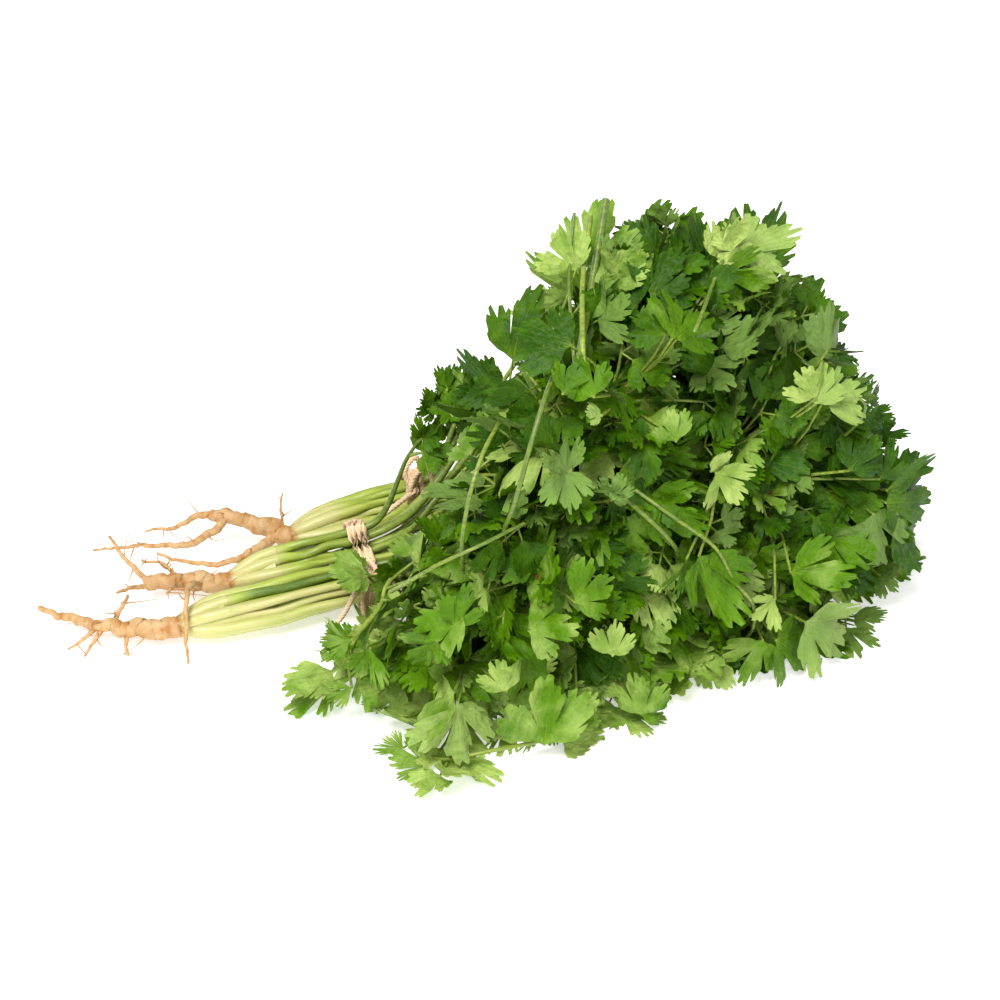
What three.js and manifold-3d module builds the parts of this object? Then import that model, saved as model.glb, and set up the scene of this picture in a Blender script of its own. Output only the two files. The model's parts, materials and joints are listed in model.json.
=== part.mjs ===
// A bunch of fresh coriander lying on its side: three plants with their taproots, tied as two
// small bundles by two raffia ties, their leafy stems fanned out into one loose mound.
//
// Millimetres, +Z up. The bunch lies along X, roots towards -X and leaves towards +X, and rests on
// the plane Z = 0. The origin is under the middle of the bunch.
//
// Every stalk starts in a slot of a sunflower pattern on its crown, keeps its place through the tie,
// and then fans out in the direction that its slot gives, so stalks never cross. Leaves are tried in
// a fixed order of leans and turns, and each takes the first that stays clear of the other stems.
import * as THREE from "three";
import { mergeVertices } from "three/addons/utils/BufferGeometryUtils.js";
import Module from "manifold-3d";

const wasm = await Module();
wasm.setup();

// ---- Driving dimensions ----

const GOLDEN_ANGLE = Math.PI * (3 - Math.sqrt(5));
const GAP = 0.35; // air between neighbouring pieces
const ORIGIN_SHIFT = [-2.5, 7.1, 0]; // puts the origin under the middle of the bunch

const CROWN = { length: 20, collarRadius: 5.2, faceRadius: 10.3, sides: 12, steps: 4 };
// Slots: the circles that hold the stalks' middle lines at the crown and inside the tie.
const SLOTS = { crownRadius: 8.4, tieRadius: 9, cornerStretch: 0.35 };
// A stalk tries ways that wander further and further from its own until it is clear of the others.
const STALK = {
  baseRadius: 1.55, tieRadius: 1.6, tipRadius: 0.75, sides: 5, straightSteps: 2, fanSteps: 5,
  tries: 60, wander: 0.06, chosenWander: 15, pressHeight: 1.6, groundGap: 0.15,
};
// Start: how far past the middle of the tie a stalk begins to fan out. LeafRoom: what it leaves free
// up to the mound's skin. Leave and arrive: how long it keeps its first and last direction.
const FAN = {
  start: 4.5, shortest: 45, longest: 210, leafRoom: 50, step: 2, leave: 0.3, arrive: 0.32, droop: 0.3,
  reachLeast: 0.85, reachExtra: 0.2,
};
// The mound that the leaves fill: a dome, longer at its left, cut off by a slope at its left and one
// in front. Each slope is x or y = start + share of the other + share of the height.
const MOUND = {
  centre: [62, -5, 15], left: 170, right: 122, deep: 125, high: 158, mean: 120,
  leftSlope: [-44, 0.6, 0.5], frontSlope: [-118, 0.25, 0.25],
};
const BLADE = { thickness: 0.9, arch: 0.16, cup: 0.1, pressHeight: 5 };
// StalkAt: where leaves leave the fanned stalk, 0 at the tie and 1 at its tip. Lean: how far a leaf
// turns aside from its stalk, the least and the random extra.
const LEAVES = {
  terminal: { length: 76, stalkAt: 0.985, slide: 0, leanLeast: 0.25, leanExtra: 0.4 },
  upper: { length: 54, stalkAt: 0.8, slide: 0.16, leanLeast: 0.55, leanExtra: 0.25 },
  lower: { length: 54, stalkAt: 0.56, slide: 0.16, leanLeast: 0.55, leanExtra: 0.25 },
};
const LEAF_TRY = { count: 40, turn: 0.618, roll: 1.1, smaller: 0.25, moreOutside: 0.15, chosenAside: 0.02 };
const LEAF_LIE = { sizeVaries: 0.12, sag: 0.1, outward: 0.55, upward: 0.85, lowUpward: 1.5, lowHeight: 20 };
const LEAF_OUTSIDE = 4; // how far a leaf may stick out of the mound

// Collar: where root and crown meet. Tie: the middle of the plant's stalks inside its tie.
// Turn and rise: the middle of the fan and half its width, in degrees, seen from above and up from
// the ground. Chosen: stalk ends that stand out of the fan, each with the way its leaf grows and the
// way that leaf faces; each takes the slot nearest its direction.
const UP = [0, 0, 1];
const FRONTWARD = [0, -1, 0.35];
const PLANTS = [
  {
    name: "front", stems: 14, seed: 16, collar: [-131, -16, 8.3], tie: [-53, -9.7, 13.9],
    turn: [-58, 58], rise: [12, 18],
    chosen: [
      { at: [-34, -50, 13], grow: [-0.96, -0.22, -0.12], face: UP },
      { at: [-26, -64, 8], grow: [-0.25, -0.97, -0.08], face: UP },
      { at: [8, -46, 10], grow: [0.1, -0.98, -0.1], face: UP },
      { at: [45, -34, 12], grow: [0.27, -0.95, -0.12], face: UP },
      { at: [84, -34, 10], grow: [0.68, -0.72, -0.1], face: UP },
      { at: [117, -22, 15], grow: [0.97, -0.15, -0.1], face: UP },
    ],
  },
  {
    name: "middle", stems: 12, seed: 25, collar: [-107, 8, 9], tie: [-53, 11.9, 14.1],
    turn: [-20, 42], rise: [36, 24],
    chosen: [
      { at: [38, 6, 104], grow: [0.12, -0.08, 0.98], face: FRONTWARD },
      { at: [90, 12, 90], grow: [0.5, 0, 0.86], face: FRONTWARD },
      { at: [6, -4, 66], grow: [0.06, -0.05, 0.98], face: FRONTWARD },
      { at: [128, -14, 42], grow: [0.95, -0.1, -0.2], face: FRONTWARD },
    ],
  },
  {
    name: "back", stems: 14, seed: 37, collar: [-78, 34, 9.4], tie: [-24, 43, 14],
    turn: [22, 36], rise: [26, 28],
    chosen: [
      { at: [120, 16, 44], grow: [0.3, 0, 0.95], face: FRONTWARD },
      { at: [122, 22, 24], grow: [0.95, -0.1, 0.2], face: FRONTWARD },
    ],
  },
];

// Ties: the bundles that each holds, its wraps side by side, and its loose strands as points.
const TIE = { strand: 1.1, bundleRadius: 11.2, wrapStep: 1.8, knot: 2.6 };
const TIES = [
  {
    name: "front", plants: [0, 1], wraps: 2, segments: 18, knotAt: [-55, -21, 22.8],
    strands: [
      [[-55, -21, 23], [-60, -26, 21], [-66, -28, 12], [-74, -29, 2.2]],
      [[-55, -22, 22], [-57, -28, 17], [-57, -28, 8], [-61, -30, 2.4]],
      [[-54, -21, 23], [-50, -22, 28], [-53, -17, 31], [-57, -20, 25]],
    ],
  },
  {
    name: "back", plants: [2], wraps: 2, segments: 14, knotAt: [-25, 34, 25.3],
    strands: [
      [[-25, 34, 26], [-28, 36, 34], [-23, 39, 39], [-21, 38, 33], [-24, 35, 27]],
      [[-25, 33, 25], [-31, 28, 25], [-38, 26.3, 21], [-46, 26.3, 13]],
    ],
  },
];

const COLOURS = {
  root: { color: 0xd9a066, roughness: 0.75, metalness: 0 },
  crown: { color: 0xe3dfa8, roughness: 0.5, metalness: 0 },
  leaf: { color: 0x4f9a2a, roughness: 0.55, metalness: 0 },
  tie: { color: 0xcfa27a, roughness: 0.85, metalness: 0 },
};

// Half outlines, right of the rib, from the stalk end to the apex, as shares of the leaf's length.
const PINNATE_HALF = [
  [0.016, 0], [0.016, 0.19], [0.2, 0.1], [0.43, 0.2], [0.3, 0.36], [0.02, 0.29],
  [0.17, 0.38], [0.4, 0.47], [0.28, 0.62], [0.02, 0.54], [0.2, 0.66], [0.26, 0.82], [0.11, 0.85],
];
const TRIFOLIATE_HALF = [
  [0.02, 0], [0.02, 0.31], [0.22, 0.2], [0.5, 0.34], [0.36, 0.54], [0.03, 0.46],
  [0.22, 0.6], [0.3, 0.78], [0.12, 0.83],
];

// ---- Small helpers ----

const vec = (x, y, z) => new THREE.Vector3(x, y, z);
const radians = THREE.MathUtils.degToRad;

// A repeatable random number from 0 to 1 for whole numbers a, b and c.
function draw(a, b, c) {
  let h = (Math.imul(a + 1, 73856093) ^ Math.imul(b + 1, 19349663) ^ Math.imul(c + 1, 83492791)) >>> 0;
  for (let i = 0; i < 3; i++) {
    h = (Math.imul(h, 1664525) + 1013904223) >>> 0;
    h = (h ^ (h >>> 13)) >>> 0;
  }
  return h / 4294967296;
}

// Softly presses heights below top, so that none ends below bottom.
function press(z, top, bottom) {
  return z >= top ? z : top + (top - bottom) * (Math.exp((z - top) / (top - bottom)) - 1);
}

function solidOf(geometry) {
  const bare = new THREE.BufferGeometry()
    .setAttribute("position", geometry.getAttribute("position"))
    .setIndex(geometry.index);
  const merged = mergeVertices(bare, 1e-4);
  return new wasm.Manifold(
    new wasm.Mesh({
      numProp: 3,
      vertProperties: merged.attributes.position.array,
      triVerts: new Uint32Array(merged.index.array),
    }),
  );
}

function geometryOf(solid) {
  const mesh = solid.getMesh();
  return new THREE.BufferGeometry()
    .setAttribute("position", new THREE.BufferAttribute(new Float32Array(mesh.vertProperties), 3))
    .setIndex(new THREE.BufferAttribute(new Uint32Array(mesh.triVerts), 1));
}

// Any unit vector square to v, the same each time.
function squareTo(v) {
  const away = Math.abs(v.z) < 0.9 ? vec(0, 0, 1) : vec(1, 0, 0);
  return away.addScaledVector(v, -away.dot(v)).normalize();
}

// A closed tube through the points, with a radius at each, bent from a plain cylinder.
function tube(points, radii, sides) {
  const steps = points.length - 1;
  const rings = [];
  let normal = null;
  points.forEach((p, i) => {
    const tangent = points[Math.min(i + 1, steps)].clone().sub(points[Math.max(i - 1, 0)]).normalize();
    normal = normal ? normal.addScaledVector(tangent, -normal.dot(tangent)).normalize() : squareTo(tangent);
    rings.push({ p, normal: normal.clone(), side: normal.clone().cross(tangent), radius: radii[i] });
  });
  const geometry = new THREE.CylinderGeometry(1, 1, 1, sides, steps);
  const position = geometry.getAttribute("position");
  for (let i = 0; i < position.count; i++) {
    const ring = rings[Math.round((position.getY(i) + 0.5) * steps)];
    const at = ring.p.clone()
      .addScaledVector(ring.normal, position.getZ(i) * ring.radius)
      .addScaledVector(ring.side, -position.getX(i) * ring.radius);
    position.setXYZ(i, at.x, at.y, at.z);
  }
  return geometry;
}

const taper = (from, to, count) =>
  Array.from({ length: count }, (_, i) => THREE.MathUtils.lerp(from, to, i / (count - 1)));

// ---- Stalks ----

// A slot of the sunflower pattern: its place across (a) and up (b), from -1 to 1.
function slot(index, { stems, seed }) {
  const reach = Math.sqrt((index + 0.5) / stems);
  const angle = index * GOLDEN_ANGLE + seed;
  return { a: reach * Math.cos(angle), b: reach * Math.sin(angle) };
}

function plantAxis(plant) {
  return vec(...plant.tie).sub(vec(...plant.collar)).normalize();
}

// The way a slot's stalk fans out, as a unit vector.
function fanWay(plant, { a, b }, east, north) {
  const turn = radians(plant.turn[0] + plant.turn[1] * (a * (1 + SLOTS.cornerStretch * b * b) + east));
  const rise = radians(plant.rise[0] + plant.rise[1] * (b * (1 + SLOTS.cornerStretch * a * a) + north));
  return vec(Math.cos(rise) * Math.cos(turn), Math.cos(rise) * Math.sin(turn), Math.sin(rise));
}

// How far a place is outside the mound, in millimetres; less than nothing inside it.
function outside({ x, y, z }) {
  const { centre, left, right, deep, high, mean, leftSlope, frontSlope } = MOUND;
  const along = (x - centre[0]) / (x > centre[0] ? right : left);
  const beside = (y - centre[1]) / deep;
  const above = Math.max(0, z - centre[2]) / high;
  const dome = mean * (Math.hypot(along, beside, above) - 1);
  const leftward = leftSlope[0] + leftSlope[1] * y + leftSlope[2] * z - x;
  const forward = frontSlope[0] + frontSlope[1] * x + frontSlope[2] * z - y;
  return Math.max(dome, leftward, forward);
}

// How long the fanned length of a stalk is, for the way it goes from the tie.
function fanReach(from, way) {
  let reach = FAN.shortest;
  const skin = (length) => outside(from.clone().addScaledVector(way, length + FAN.leafRoom));
  while (reach < FAN.longest && skin(reach) < 0) reach += FAN.step;
  return reach;
}

// Gives each chosen stalk end to the free slot whose own way out is nearest.
function claimSlots(plant) {
  plant.claims = {};
  for (const choice of plant.chosen) {
    const way = vec(...choice.at).sub(vec(...plant.tie)).normalize();
    let best = null;
    for (let index = 0; index < plant.stems; index++) {
      if (plant.claims[index]) continue;
      const miss = fanWay(plant, slot(index, plant), 0, 0).distanceTo(way);
      if (!best || miss < best.miss) best = { index, miss };
    }
    plant.claims[best.index] = choice;
  }
}

// Where a stalk starts on its crown, where it leaves the tie, and where it ends.
function stalkEnds(plant, index, attempt) {
  const place = slot(index, plant);
  const axis = plantAxis(plant);
  const across = vec(0, 0, 1).cross(axis).normalize();
  const up = axis.clone().cross(across);
  const spread = (centre, along, radius) =>
    vec(...centre)
      .addScaledVector(axis, along)
      .addScaledVector(across, place.a * radius)
      .addScaledVector(up, place.b * radius);
  const base = spread(plant.collar, CROWN.length + GAP, SLOTS.crownRadius);
  const tied = spread(plant.tie, FAN.start, SLOTS.tieRadius);

  const wander = STALK.wander * attempt;
  const east = wander * (draw(plant.seed, index, 10 + attempt) - 0.5);
  const north = wander * (draw(plant.seed, index, 50 + attempt) - 0.5);
  const chosen = plant.claims[index];
  if (chosen) {
    const aside = vec(0, east, north).multiplyScalar(STALK.chosenWander);
    return { axis, base, tied, tip: vec(...chosen.at).add(aside) };
  }
  const way = fanWay(plant, place, east, north);
  const share = FAN.reachLeast + FAN.reachExtra * draw(plant.seed, index, 1);
  return { axis, base, tied, tip: tied.clone().addScaledVector(way, fanReach(tied, way) * share) };
}

// Keeps a stalk's middle line off the ground; its tip keeps as clear of it as a leaf does.
function lifted(point, radius, share) {
  const top = THREE.MathUtils.lerp(STALK.pressHeight + radius, BLADE.pressHeight, share);
  const bottom = THREE.MathUtils.lerp(radius + STALK.groundGap, BLADE.thickness / 2, share);
  return vec(point.x, point.y, press(point.z, top, bottom));
}

const STALK_RADII = [
  ...taper(STALK.baseRadius, STALK.tieRadius, STALK.straightSteps + 1),
  ...taper(STALK.tieRadius, STALK.tipRadius, STALK.fanSteps + 1).slice(1),
];

// The middle line of a stalk: straight from crown to tie, then curving out to its tip.
function stalkLine({ axis, base, tied, tip }) {
  const out = tip.clone().sub(tied).normalize();
  const reach = tip.distanceTo(tied);
  const end = out.clone().add(vec(0, 0, -FAN.droop)).normalize();
  const straight = new THREE.LineCurve3(base, tied);
  const fan = new THREE.CubicBezierCurve3(
    tied,
    tied.clone().addScaledVector(axis, reach * FAN.leave),
    tip.clone().addScaledVector(end, -reach * FAN.arrive),
    tip,
  );
  const lower = straight.getPoints(STALK.straightSteps);
  const upper = fan.getPoints(STALK.fanSteps).slice(1);
  const points = [
    ...lower.map((p, i) => lifted(p, STALK_RADII[i], 0)),
    ...upper.map((p, i) => lifted(p, STALK_RADII[lower.length + i], (i + 1) / STALK.fanSteps)),
  ];
  return { out, points };
}

const stalkTube = (points, extra) => tube(points, STALK_RADII.map((r) => r + extra), STALK.sides);

// A place on the fanned length of the stalk, 0 at the tie and 1 at the tip, and the way it points there.
function onStalk(points, t) {
  const at = Math.min(t * STALK.fanSteps, STALK.fanSteps - 1e-6);
  const i = STALK.straightSteps + Math.floor(at);
  const point = points[i].clone().lerp(points[i + 1], at - Math.floor(at));
  return { point, along: points[i + 1].clone().sub(points[i]).normalize() };
}

// ---- Leaves ----

function outlineShape(half) {
  const right = half.map(([x, y]) => new THREE.Vector2(x, y));
  const left = half.map(([x, y]) => new THREE.Vector2(-x, y)).reverse();
  return new THREE.Shape([...right, new THREE.Vector2(0, 1), ...left]);
}

const flatBlade = (half) =>
  new THREE.ExtrudeGeometry(outlineShape(half), { depth: 1, bevelEnabled: false }).translate(0, 0, -0.5);
const BLADES = {
  terminal: flatBlade(PINNATE_HALF),
  upper: flatBlade(TRIFOLIATE_HALF),
  lower: flatBlade(TRIFOLIATE_HALF),
};

// Lays a unit blade: it arches down along the rib, cups across it, and is pressed to the ground.
function layBlade(kind, place, thickness) {
  const geometry = BLADES[kind].clone();
  const position = geometry.getAttribute("position");
  for (let i = 0; i < position.count; i++) {
    const x = position.getX(i);
    const y = position.getY(i);
    const height = BLADE.cup * x * x - BLADE.arch * y * y;
    const at = place.from.clone()
      .addScaledVector(place.side, x * place.length)
      .addScaledVector(place.growth, y * place.length)
      .addScaledVector(place.normal, height * place.length);
    at.z = press(at.z, BLADE.pressHeight, BLADE.thickness / 2);
    at.addScaledVector(place.normal, position.getZ(i) * thickness);
    position.setXYZ(i, at.x, at.y, at.z);
  }
  return geometry;
}

// One try at a leaf: where it leaves its stalk, and which way it grows and faces.
function leafPlace({ plant, index, out, points }, kind, attempt) {
  const leaf = Object.keys(LEAVES).indexOf(kind);
  const { length, stalkAt, slide, leanLeast, leanExtra } = LEAVES[kind];
  const seed = plant.seed * 100 + index;
  const dice = (n) => draw(seed, leaf * 64 + attempt, n);
  const { point, along } = onStalk(points, stalkAt + (dice(2) - 0.5) * slide);
  const turn = (draw(seed, leaf, 3) + attempt * LEAF_TRY.turn + leaf * 0.5) * 2 * Math.PI;
  const aside = squareTo(along).applyAxisAngle(along, turn);
  const growth = vec(0, 0, 0);
  const facing = vec(0, 0, 0);
  const chosen = kind === "terminal" && plant.claims[index];
  if (chosen) {
    growth.set(...chosen.grow).addScaledVector(aside, LEAF_TRY.chosenAside * attempt);
    facing.set(...chosen.face);
  } else {
    growth.lerpVectors(along, aside, leanLeast + leanExtra * dice(4));
    growth.z = Math.max(growth.z - LEAF_LIE.sag, (-1.1 * point.z) / length);
    facing.copy(out).multiplyScalar(LEAF_LIE.outward);
    facing.z += LEAF_LIE.upward + Math.max(0, LEAF_LIE.lowUpward - point.z / LEAF_LIE.lowHeight);
  }
  growth.normalize();
  const normal = facing.addScaledVector(growth, -facing.dot(growth)).normalize();
  normal.applyAxisAngle(growth, (dice(5) - 0.5) * LEAF_TRY.roll);
  const size = 1 - (LEAF_TRY.smaller * attempt) / LEAF_TRY.count - LEAF_LIE.sizeVaries * draw(seed, leaf, 6);
  return { from: point, growth, normal, side: growth.clone().cross(normal), length: length * size, chosen };
}

// How far a leaf's end and its widest lobes are outside the mound.
function leafOutside({ from, growth, side, length }) {
  const half = length * 0.45;
  const middle = from.clone().addScaledVector(growth, half);
  return Math.max(
    outside(from.clone().addScaledVector(growth, length)),
    outside(middle.clone().addScaledVector(side, half)),
    outside(middle.clone().addScaledVector(side, -half)),
  );
}

// ---- Crowns and roots ----

function crownSolid(plant) {
  const axis = plantAxis(plant);
  const collar = vec(...plant.collar);
  const points = Array.from({ length: CROWN.steps + 1 }, (_, i) =>
    collar.clone().addScaledVector(axis, (CROWN.length * i) / CROWN.steps));
  const radii = points.map((_, i) =>
    THREE.MathUtils.lerp(CROWN.collarRadius, CROWN.faceRadius, Math.sin((Math.PI / 2) * (i / CROWN.steps))));
  return solidOf(tube(points, radii, CROWN.sides));
}

// Each plant's roots: the taproot, then its side roots. Each is its radius at both ends, then the
// points that it runs through. A side root starts inside what it grows from.
const ROOTS = {
  front: [
    [[5, 1.1], [-132, -16, 8.3], [-143, -15, 8.2], [-155, -11, 8], [-164, -6, 7], [-175, 1, 7], [-186, 5, 10]],
    [[1.2, 0.5], [-152, -12, 6], [-153, -18, 4], [-153, -22, 1.5]],
    [[1.2, 0.5], [-161, -8, 6.5], [-166, -13, 4], [-170, -19, 1.5]],
    [[1.1, 0.5], [-164, -7, 6], [-172, -11, 2.5], [-177, -13, 1.5]],
    [[1.3, 0.6], [-158, -9, 8], [-153, -1, 10], [-150, 4, 12]],
  ],
  middle: [
    [[4.6, 3.1], [-108, 8, 9], [-119, 10, 9.6], [-131, 13, 9.4], [-142, 15, 9]],
    [[1.4, 0.7], [-140, 15, 9.5], [-147, 25, 12], [-154, 39, 17]],
    [[1.1, 0.5], [-128, 13, 11], [-134, 20, 14], [-142, 24, 14]],
    [[1.4, 0.6], [-140, 14, 8], [-147, 9, 12], [-154, 3, 15]],
    [[1.4, 0.6], [-126, 11, 9], [-131, 3, 14], [-134, -4, 17.5]],
    [[1.7, 0.6], [-120, 9, 9], [-124, -2, 18], [-127, -14, 20.5], [-129, -26, 12], [-130, -33, 2]],
  ],
  back: [
    [[4.8, 2.2], [-79, 34, 9.4], [-88, 39, 12], [-97, 42, 15], [-106, 46, 16], [-111, 49, 16]],
    [[2, 0.5], [-109, 48, 16], [-117, 50, 14], [-126, 47, 12], [-138, 50, 10]],
    [[2.2, 0.5], [-104, 45, 15], [-112, 38, 13], [-123, 35, 11], [-136, 39, 10], [-148, 43, 8], [-161, 47, 5]],
    [[2.6, 0.6], [-84, 36, 9.5], [-90, 31, 9], [-100, 26, 8], [-108, 24, 7], [-122, 29, 6], [-135, 37, 6.5]],
    [[0.8, 0.4], [-81, 36, 11], [-81, 40, 20], [-80, 42, 27]],
  ],
};
const TAPROOT = { sides: 8, stepsEach: 3 };
const SIDE_ROOT = { sides: 5, stepsEach: 2 };
const ROOT_TAPER = 0.8; // below 1, a root keeps thick less far

function rootTube([[thick, thin], ...through], { sides, stepsEach }) {
  const curve = new THREE.CatmullRomCurve3(through.map((p) => vec(...p)));
  const points = curve.getPoints(stepsEach * (through.length - 1));
  const radii = taper(0, 1, points.length).map((s) => THREE.MathUtils.lerp(thick, thin, s ** ROOT_TAPER));
  return solidOf(tube(points, radii, sides));
}

function rootSolid(plant) {
  const axis = plantAxis(plant);
  const parts = ROOTS[plant.name].map((root, i) => rootTube(root, i ? SIDE_ROOT : TAPROOT));
  const whole = parts.reduce((sum, part) => sum.add(part));
  // The root ends a gap short of the crown.
  const crownEnd = vec(...plant.collar).addScaledVector(axis, -GAP);
  const guard = new THREE.BoxGeometry(60, 60, 60).translate(30, 0, 0);
  guard.applyQuaternion(new THREE.Quaternion().setFromUnitVectors(vec(1, 0, 0), axis));
  guard.translate(crownEnd.x, crownEnd.y, crownEnd.z);
  return whole.subtract(solidOf(guard));
}

// ---- Ties ----

// A closed loop of strand round the given circles, in the upright plane at x.
function wrapSolid(centres, x, radius, segments) {
  const loop = [];
  for (let i = 0; i < segments; i++) {
    const angle = (i / segments) * 2 * Math.PI;
    const [y, z] = [Math.cos(angle), Math.sin(angle)];
    const along = (centre) => centre.y * y + centre.z * z;
    const outer = centres.reduce((one, other) => (along(other) > along(one) ? other : one));
    loop.push(vec(x, outer.y + radius * y, outer.z + radius * z));
  }
  const curve = new THREE.CatmullRomCurve3(loop, true);
  return solidOf(new THREE.TubeGeometry(curve, segments, TIE.strand, 5, true));
}

function tieSolid({ plants, wraps, segments, knotAt, strands }) {
  const centres = plants.map((i) => vec(...PLANTS[i].tie));
  const parts = [];
  for (let i = 0; i < wraps; i++) {
    const x = centres[0].x + (i - (wraps - 1) / 2) * TIE.wrapStep;
    parts.push(wrapSolid(centres, x, TIE.bundleRadius + TIE.strand, segments));
  }
  const knot = new THREE.IcosahedronGeometry(TIE.knot, 1).scale(1, 0.8, 1).translate(...knotAt);
  parts.push(solidOf(knot));
  strands.forEach((points) => {
    const curve = new THREE.CatmullRomCurve3(points.map((p) => vec(...p)));
    const line = curve.getPoints(2 * (points.length - 1));
    parts.push(solidOf(tube(line, line.map(() => TIE.strand * 0.8), 5)));
  });
  return parts.reduce((sum, part) => sum.add(part));
}

// ---- Assembly ----

const ground = solidOf(new THREE.BoxGeometry(900, 900, 60).translate(0, 0, -30));

const crowns = PLANTS.map(crownSolid);
const roots = PLANTS.map(rootSolid);
const ties = TIES.map(tieSolid);
const stems = [];

const guardOf = (solid) => ({ solid, box: solid.boundingBox() });
const boxesTouch = (a, b) => [0, 1, 2].every((k) => a.min[k] <= b.max[k] && b.min[k] <= a.max[k]);

// True if the solid shares room with any of the guards.
function meets(solid, guards) {
  const box = solid.boundingBox();
  return guards.some((guard) => boxesTouch(box, guard.box) && solid.intersect(guard.solid).volume() > 1e-4);
}

const fixed = [...crowns, ...roots, ...ties].map(guardOf);
const guardsOf = (list) => list.flatMap(({ guards }) => guards);

function growStalk(plant, index) {
  for (let attempt = 0; attempt < STALK.tries; attempt++) {
    const { out, points } = stalkLine(stalkEnds(plant, index, attempt));
    const solid = solidOf(stalkTube(points, 0));
    const guard = solidOf(stalkTube(points, GAP));
    if (meets(solid, guardsOf(stems)) || meets(guard, fixed)) continue;
    stems.push({ plant, index, out, points, parts: [solid], guards: [guardOf(guard)] });
    return;
  }
  throw new Error(`no free way for stalk ${index + 1} of the ${plant.name} plant`);
}

// The leaf takes the first try that is inside the mound, clear of the other pieces and clear of its own
// stem's leaves; failing that, the first that crosses only its own stem's; or it stays away.
function growLeaf(stem, kind) {
  const others = [...fixed, ...guardsOf(stems.filter((other) => other !== stem))];
  let crossing = null;
  for (let attempt = 0; attempt < LEAF_TRY.count; attempt++) {
    const place = leafPlace(stem, kind, attempt);
    const slack = LEAF_OUTSIDE + LEAF_TRY.moreOutside * attempt;
    if (!place.chosen && leafOutside(place) > slack) continue;
    const guard = solidOf(layBlade(kind, place, BLADE.thickness + 2 * GAP));
    if (meets(guard, others)) continue;
    if (meets(guard, stem.guards.slice(1))) {
      crossing = crossing || { place, guard };
      continue;
    }
    addLeaf(stem, kind, place, guard);
    return;
  }
  if (crossing) addLeaf(stem, kind, crossing.place, crossing.guard);
}

function addLeaf(stem, kind, place, guard) {
  stem.parts.push(solidOf(layBlade(kind, place, BLADE.thickness)));
  stem.guards.push(guardOf(guard));
}

// The chosen stalks grow first and the others make way for them.
PLANTS.forEach(claimSlots);
for (const first of [true, false]) {
  PLANTS.forEach((plant) => {
    for (let index = 0; index < plant.stems; index++) {
      if (Boolean(plant.claims[index]) === first) growStalk(plant, index);
    }
  });
}
Object.keys(LEAVES).forEach((kind) => stems.forEach((stem) => growLeaf(stem, kind)));
stems.sort((one, other) => one.plant.name.localeCompare(other.plant.name) || one.index - other.index);

const bunch = new THREE.Group();
bunch.position.set(...ORIGIN_SHIFT);

function addNode(name, solid, look) {
  const mesh = new THREE.Mesh(geometryOf(solid.subtract(ground)), new THREE.MeshStandardMaterial(look));
  mesh.name = name;
  bunch.add(mesh);
}

PLANTS.forEach((plant, i) => {
  addNode(`root_${plant.name}`, roots[i], COLOURS.root);
  addNode(`crown_${plant.name}`, crowns[i], COLOURS.crown);
});
TIES.forEach(({ name }, i) => addNode(`tie_${name}`, ties[i], COLOURS.tie));
stems.forEach(({ plant, index, parts }) => {
  const number = String(index + 1).padStart(2, "0");
  addNode(`leafy_stem_${plant.name}_${number}`, parts.reduce((sum, part) => sum.add(part)), COLOURS.leaf);
});

export default bunch;
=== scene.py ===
import json
import math
from functools import partial

import bpy
import numpy as np
from bpy.props import FloatProperty, FloatVectorProperty, IntProperty, PointerProperty
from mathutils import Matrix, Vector
from mathutils.kdtree import KDTree

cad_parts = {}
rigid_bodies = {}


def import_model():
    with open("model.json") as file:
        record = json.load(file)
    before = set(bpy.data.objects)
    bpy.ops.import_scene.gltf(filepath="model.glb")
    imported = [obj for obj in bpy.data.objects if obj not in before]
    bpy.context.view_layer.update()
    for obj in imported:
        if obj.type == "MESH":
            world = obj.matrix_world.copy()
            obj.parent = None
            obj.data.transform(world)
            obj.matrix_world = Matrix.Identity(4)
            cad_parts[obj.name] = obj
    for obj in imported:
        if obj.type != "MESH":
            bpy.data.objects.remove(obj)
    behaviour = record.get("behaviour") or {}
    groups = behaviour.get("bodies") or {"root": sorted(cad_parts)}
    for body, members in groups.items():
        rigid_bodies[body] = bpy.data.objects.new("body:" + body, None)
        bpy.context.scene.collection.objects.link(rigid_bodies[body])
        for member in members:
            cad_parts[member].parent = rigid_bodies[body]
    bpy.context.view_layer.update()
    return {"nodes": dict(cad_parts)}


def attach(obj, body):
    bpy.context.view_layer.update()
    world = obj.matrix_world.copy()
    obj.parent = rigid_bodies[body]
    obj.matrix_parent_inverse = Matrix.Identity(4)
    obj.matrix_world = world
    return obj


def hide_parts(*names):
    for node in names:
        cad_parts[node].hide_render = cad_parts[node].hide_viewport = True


# A bunch of fresh coriander lying on its side: three plants with their taproots, two raffia ties and
# one loose mound of leafy stems. Lengths in the making of the plants are millimetres, as in the
# part's source, and a finished mesh is metres.

bl_info = {
    "name": "Coriander bunch",
    "version": (1, 0, 0),
    "blender": (4, 5, 0),
    "location": "3D View > Sidebar > Coriander",
    "description": "Dresses a tied coriander bunch with leaflets, ribbed stalks, roots and raffia",
    "category": "Object",
}

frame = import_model()

MM = 0.001
UP = (0, 0, 1)
# A full turn in radians, as the random angles and the sways use it.
ROUND = 6.28


def linear(code):
    """A colour as linear red, green, blue and alpha, from its sRGB hex value."""
    shares = [int(code[i:i + 2], 16) / 255 for i in (0, 2, 4)]
    return (*[s / 12.92 if s <= 0.04045 else ((s + 0.055) / 1.055) ** 2.4 for s in shares], 1.0)


# ---- The bunch's own dimensions, named as in the part's source ----

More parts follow.
